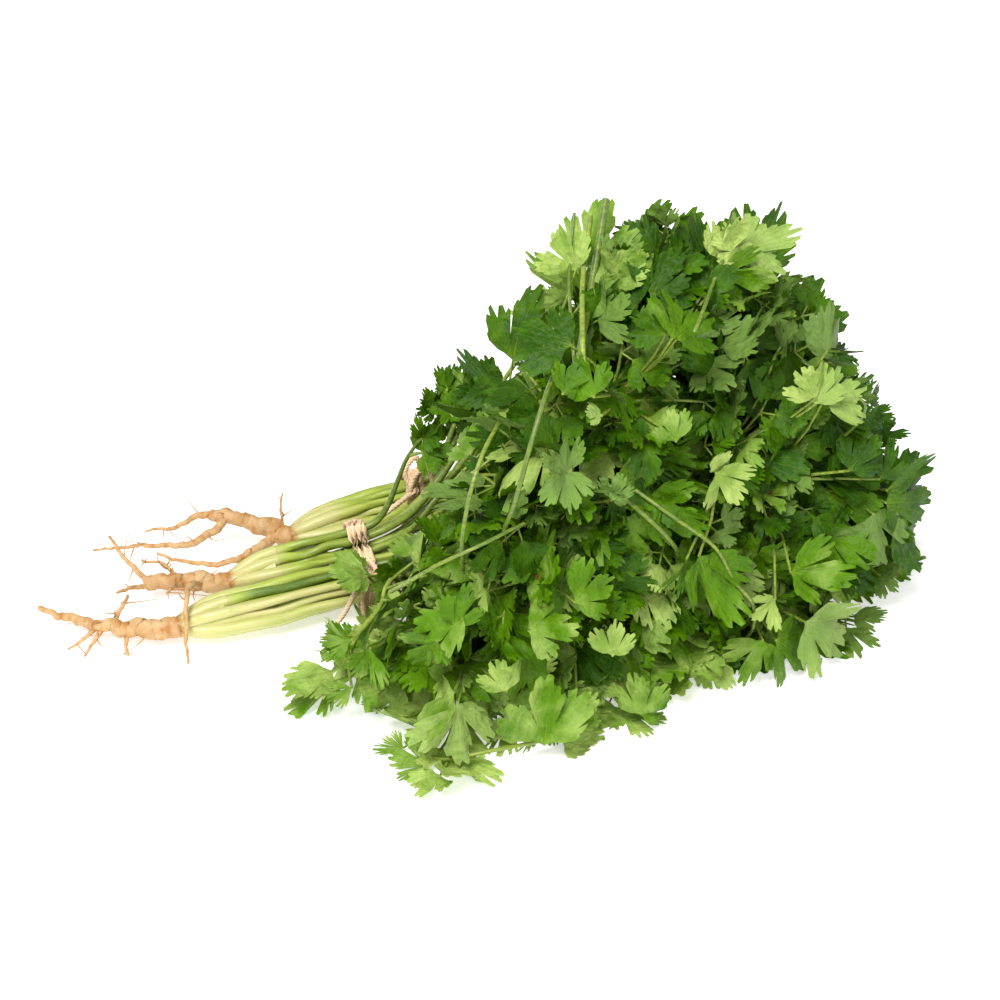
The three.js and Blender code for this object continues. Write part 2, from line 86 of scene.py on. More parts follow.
GOLDEN_ANGLE = math.pi * (3 - math.sqrt(5))
GAP = 0.35
ORIGIN_SHIFT = np.array((-2.5, 7.1, 0.0))
CROWN_LENGTH, CROWN_COLLAR = 20, 5.2
SLOT_CROWN, SLOT_TIE, SLOT_CORNER = 8.4, 9, 0.35
STALK_BASE, STALK_TIE, STALK_TIP = 1.55, 1.6, 0.75
STRAIGHT_STEPS, FAN_STEPS = 2, 5
STALK_TRIES, STALK_WANDER, CHOSEN_WANDER = 60, 0.06, 15
PRESS_HEIGHT, GROUND_GAP = 1.6, 0.15
FAN_START, FAN_SHORTEST, FAN_LONGEST, FAN_LEAF_ROOM, FAN_STEP = 4.5, 45, 210, 50, 2
FAN_LEAVE, FAN_ARRIVE, FAN_DROOP = 0.3, 0.32, 0.3
REACH_LEAST, REACH_EXTRA = 0.85, 0.2
MOUND_CENTRE = np.array((62.0, -5.0, 15.0))
MOUND_LEFT, MOUND_RIGHT, MOUND_DEEP, MOUND_HIGH, MOUND_MEAN = 170, 122, 125, 158, 120
LEFT_SLOPE = (-44, 0.6, 0.5)
FRONT_SLOPE = (-118, 0.25, 0.25)
BLADE_THICKNESS, BLADE_ARCH, BLADE_CUP, BLADE_PRESS = 0.9, 0.16, 0.1, 5
# Each leaf: its length, its place on the stalk, how far that slides, and its lean with the extra.
LEAVES = {
    "terminal": (76, 0.985, 0, 0.25, 0.4),
    "upper": (54, 0.8, 0.16, 0.55, 0.25),
    "lower": (54, 0.56, 0.16, 0.55, 0.25),
}
LEAF_TRIES, LEAF_TURN, LEAF_ROLL, LEAF_SMALLER, LEAF_ASIDE, LEAF_DIP = 40, 0.618, 1.1, 0.25, 0.02, 1.1
SIZE_VARIES, LEAF_SAG, LEAF_OUTWARD, LEAF_UPWARD, LOW_UPWARD, LOW_HEIGHT = 0.12, 0.1, 0.55, 0.85, 1.5, 20
FRONTWARD = (0, -1, 0.35)
PLANTS = {
    "front": {
        "stems": 14, "seed": 16, "collar": (-131, -16, 8.3), "tie": (-53, -9.7, 13.9),
        "turn": (-58, 58), "rise": (12, 18),
        "chosen": [
            ((-34, -50, 13), (-0.96, -0.22, -0.12), UP),
            ((-26, -64, 8), (-0.25, -0.97, -0.08), UP),
            ((8, -46, 10), (0.1, -0.98, -0.1), UP),
            ((45, -34, 12), (0.27, -0.95, -0.12), UP),
            ((84, -34, 10), (0.68, -0.72, -0.1), UP),
            ((117, -22, 15), (0.97, -0.15, -0.1), UP),
        ],
    },
    "middle": {
        "stems": 12, "seed": 25, "collar": (-107, 8, 9), "tie": (-53, 11.9, 14.1),
        "turn": (-20, 42), "rise": (36, 24),
        "chosen": [
            ((38, 6, 104), (0.12, -0.08, 0.98), FRONTWARD),
            ((90, 12, 90), (0.5, 0, 0.86), FRONTWARD),
            ((6, -4, 66), (0.06, -0.05, 0.98), FRONTWARD),
            ((128, -14, 42), (0.95, -0.1, -0.2), FRONTWARD),
        ],
    },
    "back": {
        "stems": 14, "seed": 37, "collar": (-78, 34, 9.4), "tie": (-24, 43, 14),
        "turn": (22, 36), "rise": (26, 28),
        "chosen": [
            ((120, 16, 44), (0.3, 0, 0.95), FRONTWARD),
            ((122, 22, 24), (0.95, -0.1, 0.2), FRONTWARD),
        ],
    },
}
TIE_STRAND, TIE_BUNDLE = 1.1, 11.2
TIES = {
    "front": {
        "plants": ("front", "middle"), "knot": (-55, -21, 22.8),
        "strands": [
            [(-55, -21, 23), (-60, -26, 21), (-66, -28, 12), (-74, -29, 2.2)],
            [(-55, -22, 22), (-57, -28, 17), (-57, -28, 8), (-61, -30, 2.4)],
            [(-54, -21, 23), (-50, -22, 28), (-53, -17, 31), (-57, -20, 25)],
        ],
    },
    "back": {
        "plants": ("back",), "knot": (-25, 34, 25.3),
        "standing": [
            (-27, 34, 20), (-26, 34, 28), (-23, 34, 35), (-19, 34, 36), (-16, 34, 28), (-16, 34, 20),
        ],
        "strands": [
            [(-25, 34, 26), (-28, 36, 34), (-23, 39, 39), (-21, 38, 33), (-24, 35, 27)],
            [(-25, 33, 25), (-31, 28, 25), (-38, 26.3, 21), (-46, 26.3, 13)],
        ],
    },
}
# Each plant's roots: the radius at both ends, then the points that the root runs through. The
# taproot comes first.
ROOTS = {
    "front": [
        ((5, 1.1), (-132, -16, 8.3), (-143, -15, 8.2), (-155, -11, 8), (-164, -6, 7), (-175, 1, 7),
         (-186, 5, 10)),
        ((1.2, 0.5), (-152, -12, 6), (-153, -18, 4), (-153, -22, 1.5)),
        ((1.2, 0.5), (-161, -8, 6.5), (-166, -13, 4), (-170, -19, 1.5)),
        ((1.1, 0.5), (-164, -7, 6), (-172, -11, 2.5), (-177, -13, 1.5)),
        ((1.3, 0.6), (-158, -9, 8), (-153, -1, 10), (-150, 4, 12)),
    ],
    "middle": [
        ((4.6, 3.1), (-108, 8, 9), (-119, 10, 9.6), (-131, 13, 9.4), (-142, 15, 9)),
        ((1.4, 0.7), (-140, 15, 9.5), (-147, 25, 12), (-154, 39, 17)),
        ((1.1, 0.5), (-128, 13, 11), (-134, 20, 14), (-142, 24, 14)),
        ((1.4, 0.6), (-140, 14, 8), (-147, 9, 12), (-154, 3, 15)),
        ((1.4, 0.6), (-126, 11, 9), (-131, 3, 14), (-134, -4, 17.5)),
        ((1.7, 0.6), (-120, 9, 9), (-124, -2, 18), (-127, -14, 20.5), (-129, -26, 12), (-130, -33, 2)),
    ],
    "back": [
        ((4.8, 2.2), (-79, 34, 9.4), (-88, 39, 12), (-97, 42, 15), (-106, 46, 16), (-111, 49, 16)),
        ((2, 0.5), (-109, 48, 16), (-117, 50, 14), (-126, 47, 12), (-138, 50, 10)),
        ((2.2, 0.5), (-104, 45, 15), (-112, 38, 13), (-123, 35, 11), (-136, 39, 10), (-148, 43, 8),
         (-161, 47, 5)),
        ((2.6, 0.6), (-84, 36, 9.5), (-90, 31, 9), (-100, 26, 8), (-108, 24, 7), (-122, 29, 6),
         (-135, 37, 6.5)),
        ((0.8, 0.4), (-81, 36, 11), (-81, 40, 20), (-80, 42, 27)),
    ],
}
ROOT_TAPER = 0.8

# Half outlines of the solids' leaves, from the stalk end to the apex, as shares of the leaf's length.
PINNATE_HALF = [
    (0.016, 0), (0.016, 0.19), (0.2, 0.1), (0.43, 0.2), (0.3, 0.36), (0.02, 0.29),
    (0.17, 0.38), (0.4, 0.47), (0.28, 0.62), (0.02, 0.54), (0.2, 0.66), (0.26, 0.82), (0.11, 0.85),
]
TRIFOLIATE_HALF = [
    (0.02, 0), (0.02, 0.31), (0.22, 0.2), (0.5, 0.34), (0.36, 0.54), (0.03, 0.46),
    (0.22, 0.6), (0.3, 0.78), (0.12, 0.83),
]
HALVES = {"terminal": PINNATE_HALF, "upper": TRIFOLIATE_HALF, "lower": TRIFOLIATE_HALF}
# The leaflets on each kind of leaf, as shares of its length: base, tip and the leaflet's own length.
PINNATE_LEAFLETS = [
    ((0.06, 0.19), (0.4, 0.24), 0.37), ((-0.06, 0.19), (-0.4, 0.24), 0.37),
    ((0.05, 0.42), (0.37, 0.56), 0.35), ((-0.05, 0.42), (-0.37, 0.56), 0.35),
    ((0, 0.62), (0, 1), 0.4),
]
TRIFOLIATE_LEAFLETS = [
    ((0.07, 0.32), (0.45, 0.4), 0.43), ((-0.07, 0.32), (-0.45, 0.4), 0.43), ((0, 0.52), (0, 1), 0.49),
]
LEAFLETS = {"terminal": PINNATE_LEAFLETS, "upper": TRIFOLIATE_LEAFLETS, "lower": TRIFOLIATE_LEAFLETS}


# ---- Small helpers ----

DRAW_FACTORS = (73856093, 19349663, 83492791)
DRAW_STEP, DRAW_ADD, DRAW_RANGE, DRAW_SHIFT = 1664525, 1013904223, 2 ** 32, 13


def draw(*numbers):
    """A repeatable random number from 0 to 1 for three whole numbers, the one the solids use."""
    h = 0
    for number, factor in zip(numbers, DRAW_FACTORS):
        h ^= (number + 1) * factor
    h %= DRAW_RANGE
    for _ in range(3):
        h = (h * DRAW_STEP + DRAW_ADD) % DRAW_RANGE
        h ^= h >> DRAW_SHIFT
    return h / DRAW_RANGE


def unit(v):
    return v / np.linalg.norm(v)


def lerp(a, b, share):
    return a + (b - a) * share


def clamped(share):
    return min(max(share, 0.0), 1.0)


def press(z, top, bottom):
    """Softly presses heights below top, so that none ends below bottom."""
    z = np.asarray(z, float)
    soft = top + (top - bottom) * (np.exp(np.minimum(z - top, 0) / (top - bottom)) - 1)
    return np.where(z >= top, z, soft)


def square_to(axis, v=None):
    """What is left of v square to the axis, 1 long; of a way far from the axis if v is None."""
    if v is None:
        v = np.array((0.0, 0.0, 1.0)) if abs(axis[2]) < 0.9 else np.array((1.0, 0.0, 0.0))
    return unit(v - axis * axis.dot(v))


def turned(v, axis, angle):
    return (v * math.cos(angle) + np.cross(axis, v) * math.sin(angle)
            + axis * axis.dot(v) * (1 - math.cos(angle)))


def run_along(points):
    """How far along a line each of its points is."""
    return np.concatenate(((0,), np.cumsum(np.linalg.norm(np.diff(points, axis=0), axis=1))))


def smooth_path(points, steps_each):
    """Points along a soft curve through the given ones."""
    p = np.array(points, float)
    ends = np.vstack((2 * p[0] - p[1], p, 2 * p[-1] - p[-2]))
    out = []
    for i in range(len(p) - 1):
        a, b, c, d = ends[i:i + 4]
        for t in np.arange(steps_each) / steps_each:
            out.append(0.5 * ((2 * b) + (c - a) * t + (2 * a - 5 * b + 4 * c - d) * t * t
                              + (3 * b - a - 3 * c + d) * t ** 3))
    return np.array(out + [p[-1]])


def tube_frames(points):
    """The middle, normal and side of a tube at each point of a line."""
    frames, normal = [], None
    for i, p in enumerate(points):
        tangent = unit(points[min(i + 1, len(points) - 1)] - points[max(i - 1, 0)])
        normal = square_to(tangent, normal)
        frames.append((p, normal, np.cross(tangent, normal)))
    return frames


# ---- The stems' rule, as in the part's source ----

STALK_RADII = [
    *np.linspace(STALK_BASE, STALK_TIE, STRAIGHT_STEPS + 1),
    *np.linspace(STALK_TIE, STALK_TIP, FAN_STEPS + 1)[1:],
]
# Which of the source's random numbers a stalk and a leaf use, and how far apart its leaves' are.
EAST_DRAW, NORTH_DRAW, REACH_DRAW = 10, 50, 1
TURN_DRAW, SIZE_DRAW, PLACE_DRAWS, LEAF_DRAWS = 3, 6, (2, 4, 5), 64
# A corner of a solid is found within this distance of its place, and a try is the one that the solid
# took if more than these shares of its corners are found: of a stalk's or a leaf's, and of the first
# corners round a leaf's tip.
NEAR, MOST, SOME, TIP_CORNERS = 0.05, 0.5, 0.3, 6


def plant_axis(plant):
    return unit(np.subtract(plant["tie"], plant["collar"]))


def slot_of(plant, index):
    """A stem's place across and up in its bundle, as shares of the bundle's radius."""
    reach = math.sqrt((index + 0.5) / plant["stems"])
    angle = index * GOLDEN_ANGLE + plant["seed"]
    return reach * math.cos(angle), reach * math.sin(angle)


def bundle_place(plant, start, index, along, radius):
    """A place in a stem's slot of the bundle, so far along from the plant's collar or tie."""
    a, b = slot_of(plant, index)
    axis = plant_axis(plant)
    across = unit(np.cross(UP, axis))
    return plant[start] + axis * along + (across * a + np.cross(axis, across) * b) * radius


def fan_way(plant, index, east=0, north=0):
    """The way that a stem fans out, with its wander to the east and north."""
    a, b = slot_of(plant, index)
    (turn, half_turn), (rise, half_rise) = plant["turn"], plant["rise"]
    turn = math.radians(turn + half_turn * (a * (1 + SLOT_CORNER * b * b) + east))
    rise = math.radians(rise + half_rise * (b * (1 + SLOT_CORNER * a * a) + north))
    return np.array((math.cos(rise) * math.cos(turn), math.cos(rise) * math.sin(turn), math.sin(rise)))


def outside(p):
    """How far a place is outside the mound of leaves; less than nothing inside it."""
    x, y, z = p
    along = (x - MOUND_CENTRE[0]) / (MOUND_RIGHT if x > MOUND_CENTRE[0] else MOUND_LEFT)
    beside = (y - MOUND_CENTRE[1]) / MOUND_DEEP
    above = max(0, z - MOUND_CENTRE[2]) / MOUND_HIGH
    dome = MOUND_MEAN * (math.sqrt(along ** 2 + beside ** 2 + above ** 2) - 1)
    leftward = LEFT_SLOPE[0] + LEFT_SLOPE[1] * y + LEFT_SLOPE[2] * z - x
    forward = FRONT_SLOPE[0] + FRONT_SLOPE[1] * x + FRONT_SLOPE[2] * z - y
    return max(dome, leftward, forward)


def claimed_slots(plant):
    """The stem that each chosen place goes to: the free one whose own way is nearest."""
    claims = {}
    for choice in plant["chosen"]:
        way = unit(np.subtract(choice[0], plant["tie"]))
        free = [i for i in range(plant["stems"]) if i not in claims]
        claims[min(free, key=lambda i: np.linalg.norm(fan_way(plant, i) - way))] = choice
    return claims


def stalk_line(plant, claims, index, attempt):
    """The stalk's way out and the points of its middle line for one of the tries."""
    seed, axis = plant["seed"], plant_axis(plant)
    base = bundle_place(plant, "collar", index, CROWN_LENGTH + GAP, SLOT_CROWN)
    tied = bundle_place(plant, "tie", index, FAN_START, SLOT_TIE)
    wander = STALK_WANDER * attempt
    east = wander * (draw(seed, index, EAST_DRAW + attempt) - 0.5)
    north = wander * (draw(seed, index, NORTH_DRAW + attempt) - 0.5)
    if index in claims:
        tip = claims[index][0] + np.array((0, east, north)) * CHOSEN_WANDER
    else:
        way = fan_way(plant, index, east, north)
        reach = FAN_SHORTEST
        while reach < FAN_LONGEST and outside(tied + way * (reach + FAN_LEAF_ROOM)) < 0:
            reach += FAN_STEP
        tip = tied + way * reach * (REACH_LEAST + REACH_EXTRA * draw(seed, index, REACH_DRAW))
    out, reach = unit(tip - tied), np.linalg.norm(tip - tied)
    end = unit(out - np.array((0, 0, FAN_DROOP)))
    points = [lerp(base, tied, i / STRAIGHT_STEPS) for i in range(STRAIGHT_STEPS + 1)]
    shares = [0] * len(points)
    p1, p2 = tied + axis * reach * FAN_LEAVE, tip - end * reach * FAN_ARRIVE
    for i in range(1, FAN_STEPS + 1):
        t = i / FAN_STEPS
        s = 1 - t
        points.append(s ** 3 * tied + 3 * s * s * t * p1 + 3 * s * t * t * p2 + t ** 3 * tip)
        shares.append(t)
    for point, radius, share in zip(points, STALK_RADII, shares):
        top = lerp(PRESS_HEIGHT + radius, BLADE_PRESS, share)
        bottom = lerp(radius + GROUND_GAP, BLADE_THICKNESS / 2, share)
        point[2] = press(point[2], top, bottom)
    return out, np.array(points)


def ring_marks(points):
    """A corner of the solid's tube on each ring of the fanned length."""
    marks = [p + normal * radius for (p, normal, _), radius in zip(tube_frames(points), STALK_RADII)]
    return marks[STRAIGHT_STEPS + 1:]


def on_stalk(points, t):
    """A place on the fanned length of a stalk's line, and the line's way there."""
    at = min(t * FAN_STEPS, FAN_STEPS - 1e-6)
    i = STRAIGHT_STEPS + int(at)
    return lerp(points[i], points[i + 1], at - int(at)), unit(points[i + 1] - points[i])


def leaf_place(stem, kind, attempt):
    """Where a leaf leaves its stalk, the ways it grows, faces and spreads, and its length."""
    leaf = list(LEAVES).index(kind)
    length, stalk_at, slide, lean, lean_extra = LEAVES[kind]
    seed = stem["plant"]["seed"] * 100 + stem["index"]
    slid, leant, rolled = [draw(seed, leaf * LEAF_DRAWS + attempt, n) for n in PLACE_DRAWS]
    point, along = on_stalk(stem["points"], stalk_at + (slid - 0.5) * slide)
    turn = (draw(seed, leaf, TURN_DRAW) + attempt * LEAF_TURN + leaf * 0.5) * math.tau
    aside = turned(square_to(along), along, turn)
    chosen = kind == "terminal" and stem["choice"]
    if chosen:
        growth = chosen[1] + aside * LEAF_ASIDE * attempt
        facing = np.array(chosen[2], float)
    else:
        growth = lerp(along, aside, lean + lean_extra * leant)
        growth[2] = max(growth[2] - LEAF_SAG, -LEAF_DIP * point[2] / length)
        facing = stem["out"] * LEAF_OUTWARD
        facing[2] += LEAF_UPWARD + max(0, LOW_UPWARD - point[2] / LOW_HEIGHT)
    growth = unit(growth)
    normal = turned(square_to(growth, facing), growth, (rolled - 0.5) * LEAF_ROLL)
    size = 1 - LEAF_SMALLER * attempt / LEAF_TRIES - SIZE_VARIES * draw(seed, leaf, SIZE_DRAW)
    return {"from": point, "growth": growth, "normal": normal, "side": np.cross(growth, normal),
            "length": length * size}


def on_blade(place, x, y, above=0.0):
    """A place on the solid's blade, for shares of its length aside and along."""
    height = BLADE_CUP * x * x - BLADE_ARCH * y * y
    at = place["from"] + place["length"] * (
        place["side"] * x + place["growth"] * y + place["normal"] * height)
    at[2] = press(at[2], BLADE_PRESS, BLADE_THICKNESS / 2)
    return at + place["normal"] * above


def share_found(corners, points):
    """The share of the points that lie on a corner of the solid."""
    return sum(corners.find(p)[2] < NEAR for p in points) / len(points)


def corners_of(name):
    mesh = frame["nodes"][name].data
    corners = KDTree(len(mesh.vertices))
    for i, vertex in enumerate(mesh.vertices):
        corners.insert(np.array(vertex.co) / MM - ORIGIN_SHIFT, i)
    corners.balance()
    return corners


def read_stem(plant, claims, index, corners):
    """The stem as its solid has it: the try that its stalk took, and each leaf's."""
    lines = (stalk_line(plant, claims, index, attempt) for attempt in range(STALK_TRIES))
    out, points = next(line for line in lines if share_found(corners, ring_marks(line[1])) > MOST)
    stem = {"plant": plant, "index": index, "choice": claims.get(index), "out": out, "points": points}
    stem["leaves"] = []
    for kind, half in HALVES.items():
        for attempt in range(LEAF_TRIES):
            place = leaf_place(stem, kind, attempt)
            above = BLADE_THICKNESS / 2
            rim = [on_blade(place, x * s, y, above) for x, y in [(0, 1), *half[1:]] for s in (1, -1)]
            if share_found(corners, rim[:TIP_CORNERS]) > SOME and share_found(corners, rim) > MOST:
                stem["leaves"].append((kind, place))
                break
    return stem


def all_stems():
    """Every leafy stem by its node's name."""
    stems = {}
    for name, plant in PLANTS.items():
        claims = claimed_slots(plant)
        for index in range(plant["stems"]):
            node = f"leafy_stem_{name}_{index + 1:02d}"
            stems[node] = read_stem(plant, claims, index, corners_of(node))
    return stems


# ---- Sizes and colours that a user would change ----

def colour_property(name, description, code):
    return FloatVectorProperty(name=name, description=description, subtype="COLOR", size=4, min=0, max=1,
                               default=linear(code))


class LeafSettings(bpy.types.PropertyGroup):
    """Leaflets and how many more of them than the solids have."""
    more_leaves: IntProperty(
        name="More leaves", description="Leaves that fill the mound between those of the solids",
        default=440, min=0, max=900)
    leaflet: FloatProperty(
        name="Leaflet length", description="Length of a full-grown leaflet on a filling leaf",
        default=0.026, min=0.01, max=0.05, subtype="DISTANCE", unit="LENGTH")
    thickness: FloatProperty(
        name="Thickness", description="Thickness of a leaflet at its middle",
        default=0.00035, min=0.0001, max=0.001, subtype="DISTANCE", unit="LENGTH")
    # The leaves' greens run from deep to young by each leaf's tint, which carries painted light and shade as
    # well as age, so the deep green also serves as painted shade and the young one as painted light.
    deep: colour_property("Deep green", "Upper side of an old leaf", "2e5a00")
    middle: colour_property("Leaf green", "Upper side of most leaves", "609004")
    young_and_lit: colour_property("Young green", "Upper side of a young leaf", "bfd673")
    under: colour_property("Underside", "Lower side, which is duller and greyer", "8fad5a")


class StalkSettings(bpy.types.PropertyGroup):
    """Stalks, leaf stalks and the sheaths at their feet."""
    ribs: IntProperty(name="Ribs", description="Ribs round a stalk", default=6, min=3, max=12)
    rib_depth: FloatProperty(
        name="Rib depth", description="Depth of the furrows, as a share of the radius", default=0.14,
        min=0, max=0.5, subtype="FACTOR")
    foot: FloatProperty(
        name="Foot radius", description="Radius of a stalk's foot on the crown",
        default=0.0025, min=0.001, max=0.004, subtype="DISTANCE", unit="LENGTH")
    pale: colour_property("Foot", "Blanched foot of a stalk", "c4be80")
    light: colour_property("Lower stalk", "Stalk between crown and tie", "a2b246")
    green: colour_property("Upper stalk", "Stalk among the leaves", "5a7228")
    joint: colour_property("Joint", "Corky ring where the crown meets the root", "a8743c")


class RootSettings(bpy.types.PropertyGroup):
    """Taproots, side roots and root hairs."""
    knobs: FloatProperty(
        name="Knobs", description="How far knobs and rings stand out, as a share of the radius",
        default=0.22, min=0, max=0.5, subtype="FACTOR")
    hairs: IntProperty(name="Hairs", description="Fine rootlets on each plant", default=22, min=0, max=100)
    skin: colour_property("Skin", "Washed root skin", "cdab7c")
    ring: colour_property("Rings", "Cork rings and scars round the root", "ae783c")


class TieSettings(bpy.types.PropertyGroup):
    """Raffia ties."""
    twist: FloatProperty(
        name="Twist", description="Turns of the strand for each millimetre", default=0.16, min=0, max=1)
    straw: colour_property("Raffia", "Dry raffia", "fbe6c6")
    # The dark colour is both darker fibres and the painted shade in the furrows of the twist.
    dark: colour_property("Raffia, dark", "Fibres in the furrows", "e4bc90")


class StageSettings(bpy.types.PropertyGroup):
    """Floor and light."""
    floor: colour_property("Floor", "Matt pale studio floor", "f7f7f5")
    key_light: FloatProperty(
        name="Key light", description="Power of the large softbox overhead", default=34, min=0, unit="POWER")
    fill_light: FloatProperty(
        name="Fill light", description="Power of the softbox in front", default=9, min=0, unit="POWER")
    room_light: FloatProperty(
        name="Room light", description="Strength of the white room", default=0.45, min=0)
    floor_glow: FloatProperty(
        name="Floor glow", description="Light from the lit sweep itself", default=0.5, min=0)


class BunchSettings(bpy.types.PropertyGroup):
    """Every setting of the bunch."""
    leaf: PointerProperty(type=LeafSettings, name="Leaves")
    stalk: PointerProperty(type=StalkSettings, name="Stalks")
    root: PointerProperty(type=RootSettings, name="Roots")
    tie: PointerProperty(type=TieSettings, name="Ties")
    stage: PointerProperty(type=StageSettings, name="Stage")


# ---- Nodes ----

def add_node(tree, kind, inputs=(), **settings):
    """Adds a node with its settings and its inputs, in their order or by name or number. An input is a
    value, a socket that feeds it or a node whose first output feeds it."""
    made = tree.nodes.new(kind)
    for name, value in settings.items():
        setattr(made, name, value)
    if not isinstance(inputs, dict):
        inputs = dict(enumerate(inputs))
    for key, value in inputs.items():
        if isinstance(value, bpy.types.Node):
            value = next(output for output in value.outputs if output.enabled)
        if isinstance(value, bpy.types.NodeSocket):
            tree.links.new(value, made.inputs[key])
        else:
            made.inputs[key].default_value = value
    return made


def new_material(name):
    """An empty material and the function that adds a node to it."""
    material = bpy.data.materials.new(name)
    material.use_nodes = True
    material.node_tree.nodes.clear()
    return material, partial(add_node, material.node_tree)


# The inputs of a mix of two colours: the second's share and the colours.
MIX, FIRST, SECOND = 0, 6, 7


def three_colours(add, level, low, middle, high):
    """The colour at a level from 0 to 1 on the way from low to high by the middle one."""
    colour = low
    for start, end, other in ((0.0, 0.5, middle), (0.5, 1.0, high)):
        share = add("ShaderNodeMapRange", (level, start, end))
        colour = add("ShaderNodeMix", {MIX: share, FIRST: colour, SECOND: other}, data_type="RGBA")
    return colour


def bumped_skin(add, colour, height, strength, depth, look):
    """A shader of a colour, whose height stands out by a depth in metres, with the look's values."""
    bump = add("ShaderNodeBump", {"Height": height, "Strength": strength, "Distance": depth})
    return add("ShaderNodeBsdfPrincipled", {"Base Color": colour, "Normal": bump, **look})


def wear_and_shade_colour(add, wear_and_shade, stain, clean, worn_and_shaded):
    """The clean colour, more like the worn and shaded one where there is more of the wear and shade and stain
    together: on a root the wear is its scars and rings, on raffia it is painted shade in the furrows.
    """
    both = add("ShaderNodeMath", (wear_and_shade.outputs["Fac"], stain), operation="ADD")
    level = add("ShaderNodeClamp", (both,))
    return add("ShaderNodeMix", {MIX: level, FIRST: clean, SECOND: worn_and_shaded}, data_type="RGBA")


# The lower skin of a leaflet has its UVs this far along U.
LOWER_SKIN = 32


def fresh_leaf(look):
    """Fresh coriander leaf: a thin waxy skin, so soft gloss above, duller and greyer below, pale
    veins that fan out from the stalk, and light shining through."""
    material, add = new_material("fresh_coriander_leaf")
    uv = add("ShaderNodeUVMap", uv_map="leaf_uv")
    parts = add("ShaderNodeSeparateXYZ", (uv,))
    under = add("ShaderNodeMath", (parts, LOWER_SKIN - 1), operation="GREATER_THAN")
    phase = add("ShaderNodeMath", (parts,), operation="FRACT")
    off = add("ShaderNodeMath", (phase, 0.5), operation="SUBTRACT")
    away = add("ShaderNodeMath", (off,), operation="ABSOLUTE")
    reach = add("ShaderNodeMath", (away, parts.outputs["Y"]), operation="MULTIPLY")
    # A vein is about 0.5 mm wide: a tooth is 5 mm wide at the rim, so that is a tenth of it.
    vein = add("ShaderNodeMapRange", (reach, 0.008, 0.05, 1.0, 0.0), interpolation_type="SMOOTHSTEP")
    tint = add("ShaderNodeAttribute", attribute_name="tint")
    place = add("ShaderNodeTexCoord").outputs["Object"]
    # Patches of about 12 mm, where light and age differ, and a fine grain of 1 mm between the veins.
    patches = add("ShaderNodeTexNoise", {"Vector": place, "Scale": 80.0, "Detail": 3.0})
    grain = add("ShaderNodeTexNoise", {"Vector": place, "Scale": 900.0, "Detail": 3.0})
    shift = add("ShaderNodeMapRange", (patches, 0.3, 0.7, -0.22, 0.22))
    level = add("ShaderNodeMath", (tint.outputs["Fac"], shift), operation="ADD")
    # The tint and its patches pick the green from deep to young: the leaves' age with painted light and
    # shade.
    top = three_colours(add, level, look.deep, look.middle, look.young_and_lit)
    veined = add("ShaderNodeMath", (vein, 0.2), operation="MULTIPLY")
    dull = add("ShaderNodeMath", (under, 0.6), operation="MULTIPLY")
    # Rare brown specks of 1 to 2 mm, as on leaves that were picked a day ago.
    cells = add("ShaderNodeTexVoronoi", {"Vector": place, "Scale": 70.0})
    speck = add("ShaderNodeMapRange", (cells, 0.06, 0.11, 1.0, 0.0))
    lot = add("ShaderNodeSeparateXYZ", (cells.outputs["Color"],))
    chosen = add("ShaderNodeMath", (lot, 0.96), operation="GREATER_THAN")
    spotted = add("ShaderNodeMath", (speck, chosen), operation="MULTIPLY")
    colour = top
    for share, other in ((veined, linear("b4cc48")), (dull, look.under), (spotted, linear("73552c"))):
        colour = add("ShaderNodeMix", {MIX: share, FIRST: colour, SECOND: other}, data_type="RGBA")
    # Soft wrinkles 5 mm apart, with the grain and the sunk veins on them.
    wrinkles = add("ShaderNodeTexNoise", {"Vector": place, "Scale": 160.0, "Detail": 2.0})
    fine = add("ShaderNodeMath", (grain, 0.12), operation="MULTIPLY")
    furrow = add("ShaderNodeMath", (vein, 0.04), operation="MULTIPLY")
    rough = add("ShaderNodeMath", (fine, furrow), operation="SUBTRACT")
    relief = add("ShaderNodeMath", (wrinkles, rough), operation="ADD")
    skin = bumped_skin(add, colour, relief, 0.9, 0.0035, {"Roughness": 0.46, "IOR": 1.33})
    # What shines through a leaf is yellower than what it throws back.
    glow = add("ShaderNodeMix", {MIX: 0.35, FIRST: colour, SECOND: linear("c8dc28")}, data_type="RGBA")
    through = add("ShaderNodeBsdfTranslucent", (glow,))
    both = add("ShaderNodeMixShader", (0.35, skin, through))
    add("ShaderNodeOutputMaterial", (both,))
    return material


def fresh_stalk(look):
    """Fresh coriander stalk: juicy and waxy, so a clear soft gloss; blanched at its foot and greener
    among the leaves, with fine streaks along its ribs."""
    material, add = new_material("fresh_coriander_stalk")
    ripe = add("ShaderNodeAttribute", attribute_name="green")
    place = add("ShaderNodeTexCoord").outputs["Object"]
    # Streaks of 1 mm across and 15 mm along, since the stalks run mostly along X.
    stretched = add("ShaderNodeMapping", {"Vector": place, "Scale": (0.08, 1.0, 1.0)})
    streaks = add("ShaderNodeTexNoise", {"Vector": stretched, "Scale": 800.0, "Detail": 4.0})
    shift = add("ShaderNodeMapRange", (streaks, 0.3, 0.7, -0.16, 0.16))
    level = add("ShaderNodeMath", (ripe.outputs["Fac"], shift), operation="ADD")
    fresh = three_colours(add, level, look.pale, look.light, look.green)
    # The joint with the root is corky, where the greenness is below nothing.
    cork = add("ShaderNodeMapRange", (level, -0.5, -0.05, 1.0, 0.0))
    colour = add("ShaderNodeMix", {MIX: cork, FIRST: fresh, SECOND: look.joint}, data_type="RGBA")
    skin = bumped_skin(add, colour, streaks, 0.4, 0.0003, {
        "Roughness": 0.36, "IOR": 1.42, "Subsurface Weight": 0.25,
        "Subsurface Radius": (0.9, 1.0, 0.3), "Subsurface Scale": 0.001})
    add("ShaderNodeOutputMaterial", (skin,))
    return material


